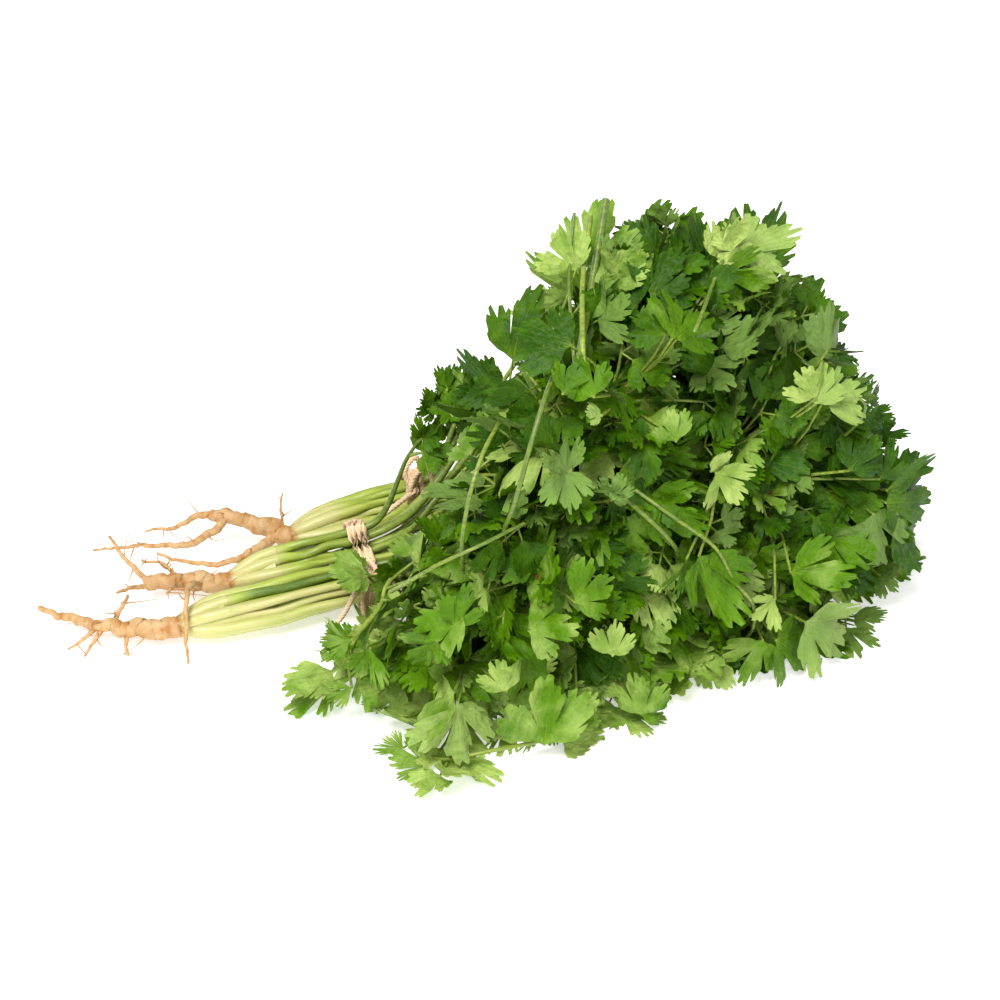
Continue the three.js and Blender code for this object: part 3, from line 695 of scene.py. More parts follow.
def washed_root(look):
    """Washed coriander taproot: a thin corky skin, so nearly matt, pale tan with browner rings, scars
    and tips."""
    material, add = new_material("washed_taproot_skin")
    scar = add("ShaderNodeAttribute", attribute_name="scar")
    place = add("ShaderNodeTexCoord").outputs["Object"]
    # Blotches of about 5 mm and fibres finer than 1 mm.
    blotches = add("ShaderNodeTexNoise", {"Vector": place, "Scale": 220.0, "Detail": 5.0})
    fibre = add("ShaderNodeTexNoise", {"Vector": place, "Scale": 1600.0, "Detail": 3.0})
    stain = add("ShaderNodeMapRange", (blotches, 0.45, 0.75, 0.0, 0.75))
    colour = wear_and_shade_colour(add, scar, stain, look.skin, look.ring)
    relief = add("ShaderNodeMath", (blotches, fibre), operation="ADD")
    skin = bumped_skin(add, colour, relief, 0.8, 0.0006, {
        "Roughness": 0.62, "IOR": 1.45, "Subsurface Weight": 0.12,
        "Subsurface Radius": (1.0, 0.5, 0.2), "Subsurface Scale": 0.001})
    add("ShaderNodeOutputMaterial", (skin,))
    return material


def twisted_raffia(look):
    """Twisted raffia: dry split palm leaf, so matt, straw-pink, with darker fibres along the strand and
    painted shade in the furrows of the twist.
    """
    material, add = new_material("twisted_raffia")
    place = add("ShaderNodeTexCoord").outputs["Object"]
    fibres = add("ShaderNodeTexNoise", {"Vector": place, "Scale": 1300.0, "Detail": 4.0})
    # The furrows of the twist take painted shade: they are drawn nearer the dark colour.
    furrow = add("ShaderNodeAttribute", attribute_name="furrow")
    shade = add("ShaderNodeMapRange", (fibres, 0.4, 0.7, 0.0, 0.5))
    colour = wear_and_shade_colour(add, furrow, shade, look.straw, look.dark)
    skin = bumped_skin(add, colour, fibres, 0.8, 0.0004, {"Roughness": 0.8})
    add("ShaderNodeOutputMaterial", (skin,))
    return material


def matt_floor(colour, glow):
    """Matt painted studio floor: no gloss, with a grain too fine to show, drawn 2 mm wide."""
    material, add = new_material("matt_painted_floor")
    place = add("ShaderNodeTexCoord").outputs["Object"]
    grain = add("ShaderNodeTexNoise", {"Vector": place, "Scale": 500.0})
    paint = bumped_skin(add, colour, grain, 0.05, 0.0002, {
        "Roughness": 0.9, "Specular IOR Level": 0.1, "Emission Color": colour, "Emission Strength": glow})
    add("ShaderNodeOutputMaterial", (paint,))
    return material


# ---- Geometry node trees ----

def new_tree(name, inputs):
    """A geometry node tree with named inputs after its geometry, each (name, socket type), the
    function that adds a node to it, and its two ends."""
    tree = bpy.data.node_groups.new(name, "GeometryNodeTree")
    for way in ("INPUT", "OUTPUT"):
        tree.interface.new_socket("Geometry", in_out=way, socket_type="NodeSocketGeometry")
    for label, kind in inputs:
        tree.interface.new_socket(label, in_out="INPUT", socket_type=kind)
    return tree, partial(add_node, tree), tree.nodes.new("NodeGroupInput"), tree.nodes.new("NodeGroupOutput")


def ribbed_tubes(add, source):
    """Tubes along the edges of the source: a ribbed ring as thick as each point's own thickness,
    turned by its twist."""
    count = add("ShaderNodeMath", (source.outputs["Ribs"], 2.0), operation="MULTIPLY")
    ring = add("GeometryNodeCurvePrimitiveCircle", {"Resolution": count, "Radius": 1.0})
    index = add("GeometryNodeInputIndex")
    odd = add("ShaderNodeMath", (index, 2.0), operation="MODULO")
    furrow = add("ShaderNodeMath", (odd, source.outputs["Rib depth"]), operation="MULTIPLY")
    size = add("ShaderNodeMath", (1.0, furrow), operation="SUBTRACT")
    place = add("GeometryNodeInputPosition")
    ribbed = add("ShaderNodeVectorMath", {0: place, "Scale": size}, operation="SCALE")
    profile = add("GeometryNodeSetPosition", {"Geometry": ring, "Position": ribbed})
    # The furrows are marked; the raffia paints shade in them.
    marked = add("GeometryNodeStoreNamedAttribute",
                 {"Geometry": profile, "Name": "furrow", "Value": odd}, domain="POINT")
    line = add("GeometryNodeMeshToCurve", {"Mesh": source})
    twist = add("GeometryNodeInputNamedAttribute", {"Name": "twist"})
    tilted = add("GeometryNodeSetCurveTilt", {"Curve": line, "Tilt": twist})
    thick = add("GeometryNodeInputNamedAttribute", {"Name": "thick"})
    tube = add("GeometryNodeCurveToMesh",
               {"Curve": tilted, "Profile Curve": marked, "Scale": thick, "Fill Caps": True})
    return add("GeometryNodeSetShadeSmooth", {"Geometry": tube})


def leafy_stem_tree():
    """Tubes along the mesh's edges and a leaflet on each point that has a size."""
    tree, add, source, result = new_tree("leafy stem", [
        ("Leaflets", "NodeSocketCollection"), ("Ribs", "NodeSocketInt"), ("Rib depth", "NodeSocketFloat"),
        ("Leaf", "NodeSocketMaterial"), ("Stalk", "NodeSocketMaterial")])
    is_stalk = add("GeometryNodeStoreNamedAttribute",
                   {"Geometry": ribbed_tubes(add, source), "Name": "is_stalk", "Value": True},
                   data_type="BOOLEAN", domain="FACE")
    shapes = add("GeometryNodeCollectionInfo",
                 {"Collection": source.outputs["Leaflets"], "Separate Children": True,
                  "Reset Children": True})
    size, shape, growth, facing = [
        add("GeometryNodeInputNamedAttribute", {"Name": name}, data_type=kind) for name, kind in
        (("size", "FLOAT"), ("shape", "INT"), ("growth", "FLOAT_VECTOR"), ("facing", "FLOAT_VECTOR"))]
    has_leaf = add("ShaderNodeMath", (size, 0.0), operation="GREATER_THAN")
    turn = add("FunctionNodeAxesToRotation", {"Primary Axis": facing, "Secondary Axis": growth},
               primary_axis="Z", secondary_axis="Y")
    placed = add("GeometryNodeInstanceOnPoints",
                 {"Points": source, "Selection": has_leaf, "Instance": shapes, "Pick Instance": True,
                  "Instance Index": shape, "Rotation": turn, "Scale": size})
    joined = add("GeometryNodeJoinGeometry", (is_stalk,))
    tree.links.new(placed.outputs[0], joined.inputs[0])
    real = add("GeometryNodeRealizeInstances", (joined,))
    leaf = add("GeometryNodeSetMaterial", {"Geometry": real, "Material": source.outputs["Leaf"]})
    mark = add("GeometryNodeInputNamedAttribute", {"Name": "is_stalk"}, data_type="BOOLEAN")
    stalk = add("GeometryNodeSetMaterial",
                {"Geometry": leaf, "Selection": mark, "Material": source.outputs["Stalk"]})
    tree.links.new(stalk.outputs[0], result.inputs[0])
    return tree


def cord_tree():
    """Ribbed tubes along the mesh's edges, for raffia strands and the crowns' sheaths."""
    tree, add, source, result = new_tree("cords", [
        ("Ribs", "NodeSocketInt"), ("Rib depth", "NodeSocketFloat"), ("Skin", "NodeSocketMaterial")])
    real = add("GeometryNodeRealizeInstances", (ribbed_tubes(add, source),))
    skin = add("GeometryNodeSetMaterial", {"Geometry": real, "Material": source.outputs["Skin"]})
    tree.links.new(skin.outputs[0], result.inputs[0])
    return tree


def grown(name, mesh, tree, inputs):
    """The plain mesh that the tree makes of the mesh."""
    source = bpy.data.objects.new(name + "_source", mesh)
    bpy.context.scene.collection.objects.link(source)
    modifier = source.modifiers.new("grow", "NODES")
    modifier.node_group = tree
    sockets = {item.name: item.identifier for item in tree.interface.items_tree
               if item.item_type == "SOCKET" and item.in_out == "INPUT"}
    for label, value in inputs.items():
        modifier[sockets[label]] = value
    bpy.context.view_layer.update()
    evaluated = source.evaluated_get(bpy.context.evaluated_depsgraph_get())
    made = bpy.data.meshes.new_from_object(evaluated)
    made.name = name
    bpy.data.objects.remove(source)
    return made


# ---- Meshes from points ----

# What each point of a stem's lines and leaflets carries into the node trees, with its usual value.
POINT_VALUES = {
    "thick": ("FLOAT", 0.0), "twist": ("FLOAT", 0.0), "green": ("FLOAT", 0.0), "size": ("FLOAT", 0.0),
    "tint": ("FLOAT", 0.0), "shape": ("INT", 0),
    "growth": ("FLOAT_VECTOR", (0, 1, 0)), "facing": ("FLOAT_VECTOR", (0, 0, 1)),
}
# The heights in millimetres that no piece goes below, and from which on it is pressed flat.
LOWEST, PRESSED_FROM = 0.1, 3.0


class Paths:
    """Polylines and leaflet points, gathered into one mesh with its attributes."""

    def __init__(self):
        self.points, self.edges = [], []
        self.values = {name: [] for name in POINT_VALUES}

    def add_point(self, point, **values):
        self.points.append(point)
        for name, (_, usual) in POINT_VALUES.items():
            self.values[name].append(values.get(name, usual))

    def add_line(self, points, thick, green=(0.5, 0.5), twist=0.0):
        """A line with its thickness and its greenness at both ends or at each point."""
        first = len(self.points)
        shares = np.linspace(0, 1, len(points))
        thick, green = [np.interp(shares, np.linspace(0, 1, len(row)), row) for row in (thick, green)]
        run = 0.0
        for i, p in enumerate(points):
            run += np.linalg.norm(points[i] - points[i - 1]) if i else 0
            self.add_point(p, thick=thick[i] * MM, green=green[i], twist=math.tau * twist * run)
        self.edges += [(first + i, first + i + 1) for i in range(len(points) - 1)]

    def mesh(self, name):
        mesh = bpy.data.meshes.new(name)
        mesh.from_pydata([tuple((np.array(p) + ORIGIN_SHIFT) * MM) for p in self.points], self.edges, [])
        for label, (kind, _) in POINT_VALUES.items():
            flat = np.array(self.values[label], np.int32 if kind == "INT" else np.float32).ravel()
            made = mesh.attributes.new(label, kind, "POINT")
            made.data.foreach_set("vector" if kind == "FLOAT_VECTOR" else "value", flat)
        return mesh


def piece(name, mesh, slot, *nodes):
    """A finished piece: its mesh, pressed to the ground, in place of the solid that it stands for."""
    flat = np.zeros(len(mesh.vertices) * 3)
    mesh.vertices.foreach_get("co", flat)
    at = flat.reshape(-1, 3)
    at[:, 2] = press(at[:, 2] / MM, PRESSED_FROM, LOWEST) * MM
    mesh.vertices.foreach_set("co", at.ravel())
    mesh.update()
    made = bpy.data.objects.new(name, mesh)
    bpy.context.scene.collection.objects.link(made)
    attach(made, "root")
    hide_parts(*nodes)


def grow_piece(name, paths, tree, inputs, slot, node):
    """The piece that the tree makes of the paths."""
    piece(name, grown(name, paths.mesh(name + "_paths"), tree, inputs), slot, node)


def loft(rings, scars):
    """A closed skin through rings of points, each as long as the first, with a point at each end, and
    how scarred each of its points is."""
    count = len(rings[0])
    points = [p for ring in rings for p in ring] + [np.mean(rings[0], 0), np.mean(rings[-1], 0)]
    faces = []
    for i in range(len(rings) - 1):
        for j in range(count):
            k = (j + 1) % count
            faces.append((i * count + j, i * count + k, (i + 1) * count + k, (i + 1) * count + j))
    last = (len(rings) - 1) * count
    for j in range(count):
        k = (j + 1) % count
        faces.append((len(points) - 2, k, j))
        faces.append((len(points) - 1, last + j, last + k))
    marks = np.concatenate((np.ravel(scars), (np.mean(scars[0]), np.mean(scars[-1]))))
    return np.array(points), faces, marks


def skin_mesh(name, lofts):
    """One smooth mesh of several lofts, with their scars as an attribute."""
    mesh = bpy.data.meshes.new(name)
    points, faces, marks = [], [], []
    for at, loops, values in lofts:
        faces += [tuple(i + len(points) for i in loop) for loop in loops]
        points += [tuple((p + ORIGIN_SHIFT) * MM) for p in at]
        marks += list(values)
    mesh.from_pydata(points, [], faces)
    mesh.shade_smooth()
    mesh.attributes.new("scar", "FLOAT", "POINT").data.foreach_set("value", np.array(marks, np.float32))
    return mesh


# ---- Leaflets ----

# A leaflet is a fan of three lobes with the same number of blunt teeth. The main cuts are between the
# lobes, and a lesser cut halves each lobe. Each kind has the fan's half angle in degrees, how far out
# the main and the lesser cuts end, how much shorter the fan's sides are and how round its lobes.
LOBE_TEETH = 5
TEETH = 3 * LOBE_TEETH
LEAFLET_KINDS = {
    "broad": ((64, 82), (0.5, 0.66), (0.76, 0.86), (0.62, 0.78), 0.2),
    "lobed": ((66, 86), (0.36, 0.5), (0.68, 0.8), (0.66, 0.82), 0.3),
    "feathery": ((48, 60), (0.26, 0.34), (0.46, 0.58), (0.6, 0.75), 0.2),
}
BROADS, LOBEDS, FEATHERIES = 7, 8, 3
LEAFLET_SHAPES = ("broad",) * BROADS + ("lobed",) * LOBEDS + ("feathery",) * FEATHERIES
COMMON = BROADS + LOBEDS
LOBED, FEATHERY = range(BROADS, COMMON), range(COMMON, COMMON + FEATHERIES)
# Leaflets longer than this aren't broad, because old leaves are the more cut ones.
LOBED_FROM = 24
# The middle lobe's share of the half fan, how far the teeth's widths differ and how narrow the
# narrowest are, the fan's lean to a side, the lobes' reaches, and how its sides fall off.
MIDDLE_LOBE, TOOTH_WIDTHS, TOOTH_NARROWEST, FAN_LEAN = (0.27, 0.34), (1, 0.22), 0.2, 0.12
LOBE_REACHES, FALL_ANGLE, FALL_POWER = (0.9, 1.02), math.radians(95), 1.8
# How far out the fan's ends, the notches between teeth and the teeth come, how much deeper a feathery
# leaflet's notches are, and where a tooth starts and ends on its width.
END_CUT, NOTCHES, FEATHERY_NOTCH, TOOTH_REACHES = 0.7, (0.86, 0.93), 0.86, (0.96, 1.05)
TOOTH_START, TOOTH_END, START_REACH = 0.3, 0.72, 0.99
# How a leaflet bends: its cup, droop, fold, ripples, its narrowing at the foot, and how far its lobes,
# its roll and its teeth stray from flat.
CUPS, DROOPS, FOLDS, RIPPLES = (-0.2, 0.3), (0.04, 0.4), (-0.15, 0.35), (0.05, 0.12)
NARROWINGS, LOBE_BEND, ROLL_BEND, TOOTH_CURL = (0.05, 0.17), 0.23, 0.28, 0.015
RIPPLES_ROUND, BENDS_FROM = 4, 0.35
# The rings of points from the foot to the rim: how many of the rim's points they step over, and their
# reach as a share of the reach without cuts, and at most as a share of that with cuts.
LEAFLET_RINGS = ((3, 0.38, 0.7), (3, 0.7, 0.9), (1, 1.0, 1.0))
# Seeds of all that is random in the leaves.
SHAPE_SEED, STALK_SEED, LEAF_SEED, PLACES_SEED, FILL_SEED, STANDING_SEED = 500, 9000, 3000, 41, 42, 500


def leaflet_outline(rng, kind):
    """Angles and reaches of the rim, three points to a tooth, and the reach without cuts."""
    halves, mains, inners, falls, rounding = LEAFLET_KINDS[kind]
    half = math.radians(rng.uniform(*halves))
    middle = half * rng.uniform(*MIDDLE_LOBE)
    bounds = (-half, -middle, middle, half)
    edges = [-half]
    for low, high in zip(bounds, bounds[1:]):
        widths = np.cumsum(np.abs(rng.normal(*TOOTH_WIDTHS, LOBE_TEETH)) + TOOTH_NARROWEST)
        edges += list(low + (high - low) * widths / widths[-1])
    lean = rng.uniform(-FAN_LEAN, FAN_LEAN)
    fall = rng.uniform(*falls)
    longest = rng.uniform(*LOBE_REACHES, 3)
    inner_cuts = {LOBE_TEETH * lobe + int(rng.integers(2, 4)) for lobe in range(3)}
    angles, reaches, envelope = [], [], []

    def add(angle, lobe, height):
        low, high = bounds[lobe], bounds[lobe + 1]
        within = 2 * (angle - low) / (high - low) - 1
        full = 1 - fall * abs(angle / FALL_ANGLE + lean) ** FALL_POWER
        angles.append(angle)
        envelope.append(full * longest[lobe] * (1 - rounding * within ** 2))
        reaches.append(envelope[-1] * height)

    for k in range(TEETH):
        if k == 0:
            depth = END_CUT
        elif k % LOBE_TEETH == 0:
            depth = rng.uniform(*mains)
        elif k in inner_cuts:
            depth = rng.uniform(*inners)
        else:
            depth = rng.uniform(*NOTCHES) * (FEATHERY_NOTCH if kind == "feathery" else 1)
        tooth = rng.uniform(*TOOTH_REACHES)
        for share, height in ((0.0, depth), (TOOTH_START, START_REACH * tooth), (TOOTH_END, tooth)):
            add(lerp(edges[k], edges[k + 1], share), k // LOBE_TEETH, height)
    add(half, 2, END_CUT)
    return np.array(angles), np.array(reaches), np.array(envelope)


def leaflet_shape(number, kind, thickness):
    """One leaflet, 1 metre long for scaling, growing along Y and facing Z: a toothed fan of two
    skins that meet at the rim."""
    rng = np.random.default_rng(SHAPE_SEED + number)
    angles, reaches, envelope = leaflet_outline(rng, kind)
    cup, droop, fold = rng.uniform(*CUPS), rng.uniform(*DROOPS), rng.uniform(*FOLDS)
    phase, ripple = rng.uniform(0, ROUND), rng.uniform(*RIPPLES)
    narrowing = rng.uniform(*NARROWINGS)
    lobes, roll = rng.normal(0, LOBE_BEND, 3), rng.normal(0, ROLL_BEND)
    curl = rng.normal(0, TOOTH_CURL, TEETH + 1)
    points, uv, rings = [(0.0, 0.0, 0.0)], [(TEETH / 2, 0.0)], []
    for step, share, inside in LEAFLET_RINGS:
        ring = []
        for i in range(0, len(angles), step):
            cut = reaches[i] if step == 1 else min(share * envelope[i], inside * reaches[i])
            angle = angles[i]
            if not rings:
                angle *= 1 - narrowing * (angle / angles[-1]) ** 4
            x, y = cut * math.sin(angle), cut * math.cos(angle)
            tooth = i / 3
            beyond = clamped((cut - BENDS_FROM) / (1 - BENDS_FROM))
            z = (cup * x * x + fold * abs(x) - droop * max(y, 0) ** 2
                 + lobes[min(int(tooth / LOBE_TEETH), 2)] * beyond
                 + ripple * math.sin(RIPPLES_ROUND * angles[i] + phase) * cut ** 2 + roll * x * y
                 + curl[int(tooth)] * (2 if step == 1 and i % 3 else 0))
            ring.append(len(points))
            points.append((x, y, z))
            uv.append((tooth, cut / envelope[i]))
        rings.append(ring)
    faces = [(0, b, a) for a, b in zip(rings[0], rings[0][1:])]
    for i in range(TEETH):
        a, b = rings[0][i:i + 2]
        c, d = rings[1][i:i + 2]
        p, q, r, t = rings[2][3 * i:3 * i + 4]
        faces += [(a, d, c), (a, b, d)]
        if i == 0:
            faces += [(d, t, r), (d, r, q), (d, q, p), (d, p, c)]
        elif i == TEETH - 1:
            faces += [(c, q, p), (c, r, q), (c, t, r), (c, d, t)]
        else:
            faces += [(c, q, p), (c, r, q), (c, d, r), (d, t, r)]
    # The lower skin shares the rim: the outer ring and the two straight edges from the foot.
    sides = [[0, rings[0][end], rings[1][end], rings[2][end]] for end in (0, -1)]
    rim = {0, *rings[2], *sides[0], *sides[1]}
    lower = {}
    for i in range(len(points)):
        lower[i] = i
        if i not in rim:
            x, y, z = points[i]
            lower[i] = len(points)
            points.append((x, y, z - thickness / 2))
            points[i] = (x, y, z + thickness / 2)
    top = len(faces)
    faces += [tuple(lower[i] for i in reversed(face)) for face in faces]
    mesh = bpy.data.meshes.new(f"leaflet_{number:02d}")
    mesh.from_pydata(points, [], faces)
    layer = mesh.uv_layers.new(name="leaf_uv")
    upper_of = {low: high for high, low in lower.items()}
    for face in mesh.polygons:
        below = face.index >= top
        for loop in face.loop_indices:
            vertex = mesh.loops[loop].vertex_index
            u, v = uv[upper_of[vertex] if below else vertex]
            layer.data[loop].uv = (u + (LOWER_SKIN if below else 0), v)
    mesh.shade_smooth()
    sharp = {frozenset(pair) for row in (rings[2], *sides) for pair in zip(row, row[1:])}
    marks = mesh.attributes.new("sharp_edge", "BOOLEAN", "EDGE")
    marks.data.foreach_set("value", [frozenset(edge.vertices) in sharp for edge in mesh.edges])
    return mesh


def leaflet_collection(thickness):
    """The leaflet shapes in a collection that isn't in the scene."""
    shapes = bpy.data.collections.new("leaflet shapes")
    for number, kind in enumerate(LEAFLET_SHAPES):
        mesh = leaflet_shape(number, kind, thickness)
        shapes.objects.link(bpy.data.objects.new(mesh.name, mesh))
    return shapes


# Filling leaves are this far apart and this deep under the mound's skin, in this box. When so many
# tries have found no room, they may be closer together, down to a last distance.
FILL_SPACING, FILL_SHALLOWEST, FILL_DEEPEST = 23.0, 18.0, 46.0
FILL_LOW, FILL_HIGH = (-120.0, -128.0, 3.0), (184.0, 112.0, 160.0)
FILL_TRIES, FILL_CLOSER, FILL_CLOSEST = 3000, 0.92, 8
# They keep clear of the solids' leaves at these shares of their length.
TAKEN_AT = (0.35, 0.75)
# Shares of them that show their underside, as far as a depth, and that are feathery. Deep ones are
# painted darker: painted shade inside the mound.
UNDERSIDES, UNDERSIDES_TO, FEATHERY_SHARE, DEEP_PAINTED_SHADE_FROM, DEEP_PAINTED_SHADE = 0.16, 34, 0.1, 30, 0.12
# They face outwards, up and to the front, unless they are behind, and grow on along their leaf stalk,
# outwards and a little down. The last value of each row is how far they stray.
FACE_OUT, FACE_UP, FACE_FRONT, FRONT_TO, FACE_STRAYS = 0.5, 0.6, 0.45, 0.35, 0.3
GROW_ON, GROW_OUT, GROW_DOWN, GROW_STRAYS = 0.5, 0.4, 0.15, 0.35
# Their tips reach almost to the skin in front; behind and along the top, where the bunch is looser,
# they stay further inside it, and so are made smaller step by step.
FRONT_AND_UP = unit(np.array((-0.4, -0.75, 0.5)))
TIP_ROOM_FRONT, TIP_ROOM_BACK, FULL_FROM = 2.0, 22.0, 0.6
SIZES, SMALLER, SMALLEST = (0.7, 1.3), 0.9, 13
# The end leaflet's own stalk as a share of its length, the side ones' in millimetres, how far those
# lean in radians and how much that varies, how far they rise or sink, and their shares of the size.
END_STALK, SIDE_STALKS, SIDE_LEAN, LEANS = 0.42, (3, 6), 1.1, (0.85, 1.15)
SIDE_RISES, SIDE_SIZES = 0.15, (0.78, 0.96)
# Leaf stalks leave a stem at these shares of its length, are this long if they can be, and had rather
# be shorter or longer by this much than turn back. They bend after this share of their length.
LEAF_STALK_STARTS = (0.22, 0.34, 0.46, 0.58, 0.7, 0.82, 0.94)
LEAF_STALK_LONG, LEAF_STALK_TURNS, LEAF_STALK_BENDS = 26, 12, 0.45
# Radii at both ends of a leaf's stalks and ribs, with their greenness.
LEAF_STALK = (0.85, 0.55), (0.7, 0.85)
MIDDLE_RIB, SIDE_RIB = ((0.75, 0.45), (0.75, 0.9)), ((0.45, 0.4), (0.9, 0.9))
END_FORK, SIDE_FORK = ((0.55, 0.42), (0.85, 0.9)), ((0.5, 0.4), (0.85, 0.9))
# A side rib leaves the middle one this share of the leaf's length below its leaflet.
RIB_DROP = 0.03
# Painted light and shade on the leaves: below the first height, and past the first of each pair over
# the length of the second, leaves are painted paler or darker; then the palest tint, the painted light,
# the painted shade and how far tints stray.
LOW_TO, FRONT_SIDE, RIGHT_SIDE, LEFT_SIDE = 70, (20, 90), (40, 120), (20, 80)
TINT, FRONT_PAINTED_LIGHT, RIGHT_PAINTED_SHADE, TINT_STRAYS = 0.25, 0.42, 0.2, 0.25
# Solid leaves that face the front more than this are paler by so much: painted light on their faces.
FACING_FRONT, FACING_PAINTED_LIGHT = -0.6, 0.1
# How far a leaflet turns and changes its tint on its leaf, and a solid leaf's leaflets their size.
LEAFLET_TURNS, LEAFLET_TINTS, SOLID_SIZES = 0.22, 0.05, (0.95, 1.12)


def tint_with_painted_light(p, rng):
    """A leaf's tint, with painted light and shade: paler low in front, darker high, at the right and behind,
    with a random stray between leaves.
    """
    x, y, z = p
    low = 1 - clamped(z / LOW_TO)
    front = clamped((FRONT_SIDE[0] - y) / FRONT_SIDE[1])
    right = clamped((x - RIGHT_SIDE[0]) / RIGHT_SIDE[1])
    left = clamped((LEFT_SIDE[0] - x) / LEFT_SIDE[1])
    # Painted light pales the low leaves and the left ones in front; painted shade darkens those on the right.
    pale = TINT + (FRONT_PAINTED_LIGHT * low + FRONT_PAINTED_LIGHT * left) * front - RIGHT_PAINTED_SHADE * right
    return clamped(pale + rng.normal(0, TINT_STRAYS))


def add_leaflet(paths, base, growth, facing, length, tint, rng, shape=None):
    """A leaflet with a shape of its own and a little turn off its leaf's plane."""
    growth = unit(growth)
    facing = turned(square_to(growth, facing), growth, rng.normal(0, LEAFLET_TURNS))
    if shape is None:
        shape = int(rng.integers(BROADS if length > LOBED_FROM else 0, COMMON))
    tint = clamped(tint + rng.normal(0, LEAFLET_TINTS))
    paths.add_point(base, growth=growth, facing=facing, size=length * MM, shape=shape, tint=tint)


def add_solid_leaf(paths, kind, place, rng):
    """The leaflets of one of the solids' leaves, each where the solid has it, on a forked rib."""
    length, leaflets = place["length"], LEAFLETS[kind]
    tint = tint_with_painted_light(place["from"] + place["growth"] * length / 2, rng)
    # Painted light on leaves that face the front.
    if place["normal"][1] < FACING_FRONT:
        tint += FACING_PAINTED_LIGHT
    for base, tip, reach in leaflets:
        start, end = on_blade(place, *base), on_blade(place, *tip)
        size = reach * length * rng.uniform(*SOLID_SIZES)
        add_leaflet(paths, start, end - start, place["normal"], size, tint, rng)
    last = max(base[1] for base, _, _ in leaflets)
    paths.add_line([on_blade(place, 0, y) for y in np.linspace(0, last, 5)], *MIDDLE_RIB)
    for base, _, _ in leaflets[:-1]:
        foot = on_blade(place, 0, base[1] - RIB_DROP)
        paths.add_line([foot, on_blade(place, *base)], *SIDE_RIB)


def outward_at(p):
    """The way straight out of the mound at a place."""
    step = 2.0
    slope = [outside(p + step * axis) - outside(p - step * axis) for axis in np.eye(3)]
    return unit(np.array(slope) + 1e-9)


def fill_leaf_places(count, taken):
    """Places for filling leaves inside the mound's skin, each as far as may be from the others."""
    rng = np.random.default_rng(PLACES_SEED)
    places = [np.array(p) for p in taken]
    first = len(places)
    spacing = FILL_SPACING
    while len(places) - first < count and spacing > FILL_CLOSEST:
        for _ in range(FILL_TRIES):
            p = rng.uniform(FILL_LOW, FILL_HIGH)
            if not -FILL_DEEPEST < outside(p) < -FILL_SHALLOWEST:
                continue
            if np.min(np.linalg.norm(np.array(places) - p, axis=1)) > spacing:
                places.append(p)
                if len(places) - first == count:
                    break
        spacing *= FILL_CLOSER
    return places[first:]


def leaf_stalk_start(stems, p):
    """The stem that reaches a place best, the point where a leaf stalk leaves it, its way there and how
    far it is."""
    best = None
    for name, stem in stems.items():
        for t in LEAF_STALK_STARTS:
            start, along = on_stalk(stem["points"], t)
            gap = p - start
            far = np.linalg.norm(gap)
            miss = abs(far - LEAF_STALK_LONG) + LEAF_STALK_TURNS * (1 - along.dot(gap) / (far + 1e-6))
            if best is None or miss < best[0]:
                best = (miss, name, start, along, far)
    return best[1:]


def add_leaf_stalk(paths, start, bend, p):
    """A leaf stalk from its stem to a leaf, curved by way of its bend."""
    shares = np.linspace(0, 1, 6)[:, None]
    line = (1 - shares) ** 2 * start + 2 * shares * (1 - shares) * bend + shares ** 2 * p
    paths.add_line(line, *LEAF_STALK)


def grow_leaf_stalk(stems, gathered, p):
    """Adds a leaf stalk from the stem that reaches a place best. Returns that stem's paths and the
    leaf stalk's bend."""
    name, start, along, far = leaf_stalk_start(stems, p)
    bend = start + along * far * LEAF_STALK_BENDS
    add_leaf_stalk(gathered[name], start, bend, p)
    return gathered[name], bend


def add_fill_leaf(stems, gathered, p, leaflet, rng):
    """A leaf of three leaflets at a place, which faces up, outwards and a little to the front."""
    depth, outward = -outside(p), outward_at(p)
    front = FACE_FRONT if outward[1] < FRONT_TO else 0.0
    facing = outward * FACE_OUT + np.array((0, -front, FACE_UP)) + rng.normal(0, FACE_STRAYS, 3)
    if rng.random() < UNDERSIDES and depth < UNDERSIDES_TO:
        facing = -facing
    size = leaflet / MM * rng.uniform(*SIZES)
    # Painted shade on leaves deep inside the mound.
    tint = tint_with_painted_light(p, rng) - (DEEP_PAINTED_SHADE if depth > DEEP_PAINTED_SHADE_FROM else 0)
    shape = int(rng.choice(FEATHERY)) if rng.random() < FEATHERY_SHARE else None
    paths, bend = grow_leaf_stalk(stems, gathered, p)
    growth = unit(p - bend) * GROW_ON + outward * GROW_OUT + rng.normal(0, GROW_STRAYS, 3)
    growth = unit(growth - np.array((0, 0, GROW_DOWN)))
    facing = square_to(growth, facing)
    side = np.cross(growth, facing)
    room = lerp(TIP_ROOM_BACK, TIP_ROOM_FRONT, clamped(outward.dot(FRONT_AND_UP) / FULL_FROM))
    while outside(p + growth * size * END_STALK + growth * size) > -room and size > SMALLEST:
        size *= SMALLER
    end = p + growth * size * END_STALK
    add_leaflet(paths, end, growth, facing, size, tint, rng, shape)
    paths.add_line([p, end], *END_FORK)
    for s in (1, -1):
        lean = SIDE_LEAN * rng.uniform(*LEANS)
        aside = growth * math.cos(lean) + side * s * math.sin(lean) + facing * rng.normal(0, SIDE_RISES)
        aside = unit(aside)
        base = p + aside * rng.uniform(*SIDE_STALKS)
        add_leaflet(paths, base, aside, facing, size * rng.uniform(*SIDE_SIZES), tint, rng, shape)
        paths.add_line([p, base], *SIDE_FORK)


def add_fill_leaves(stems, gathered, count, leaflet):
    """Leaves between those of the solids."""
    rng = np.random.default_rng(FILL_SEED)
    taken = [place["from"] + place["growth"] * place["length"] * share
             for stem in stems.values() for _, place in stem["leaves"] for share in TAKEN_AT]
    for p in fill_leaf_places(count, taken):
        add_fill_leaf(stems, gathered, p, leaflet, rng)
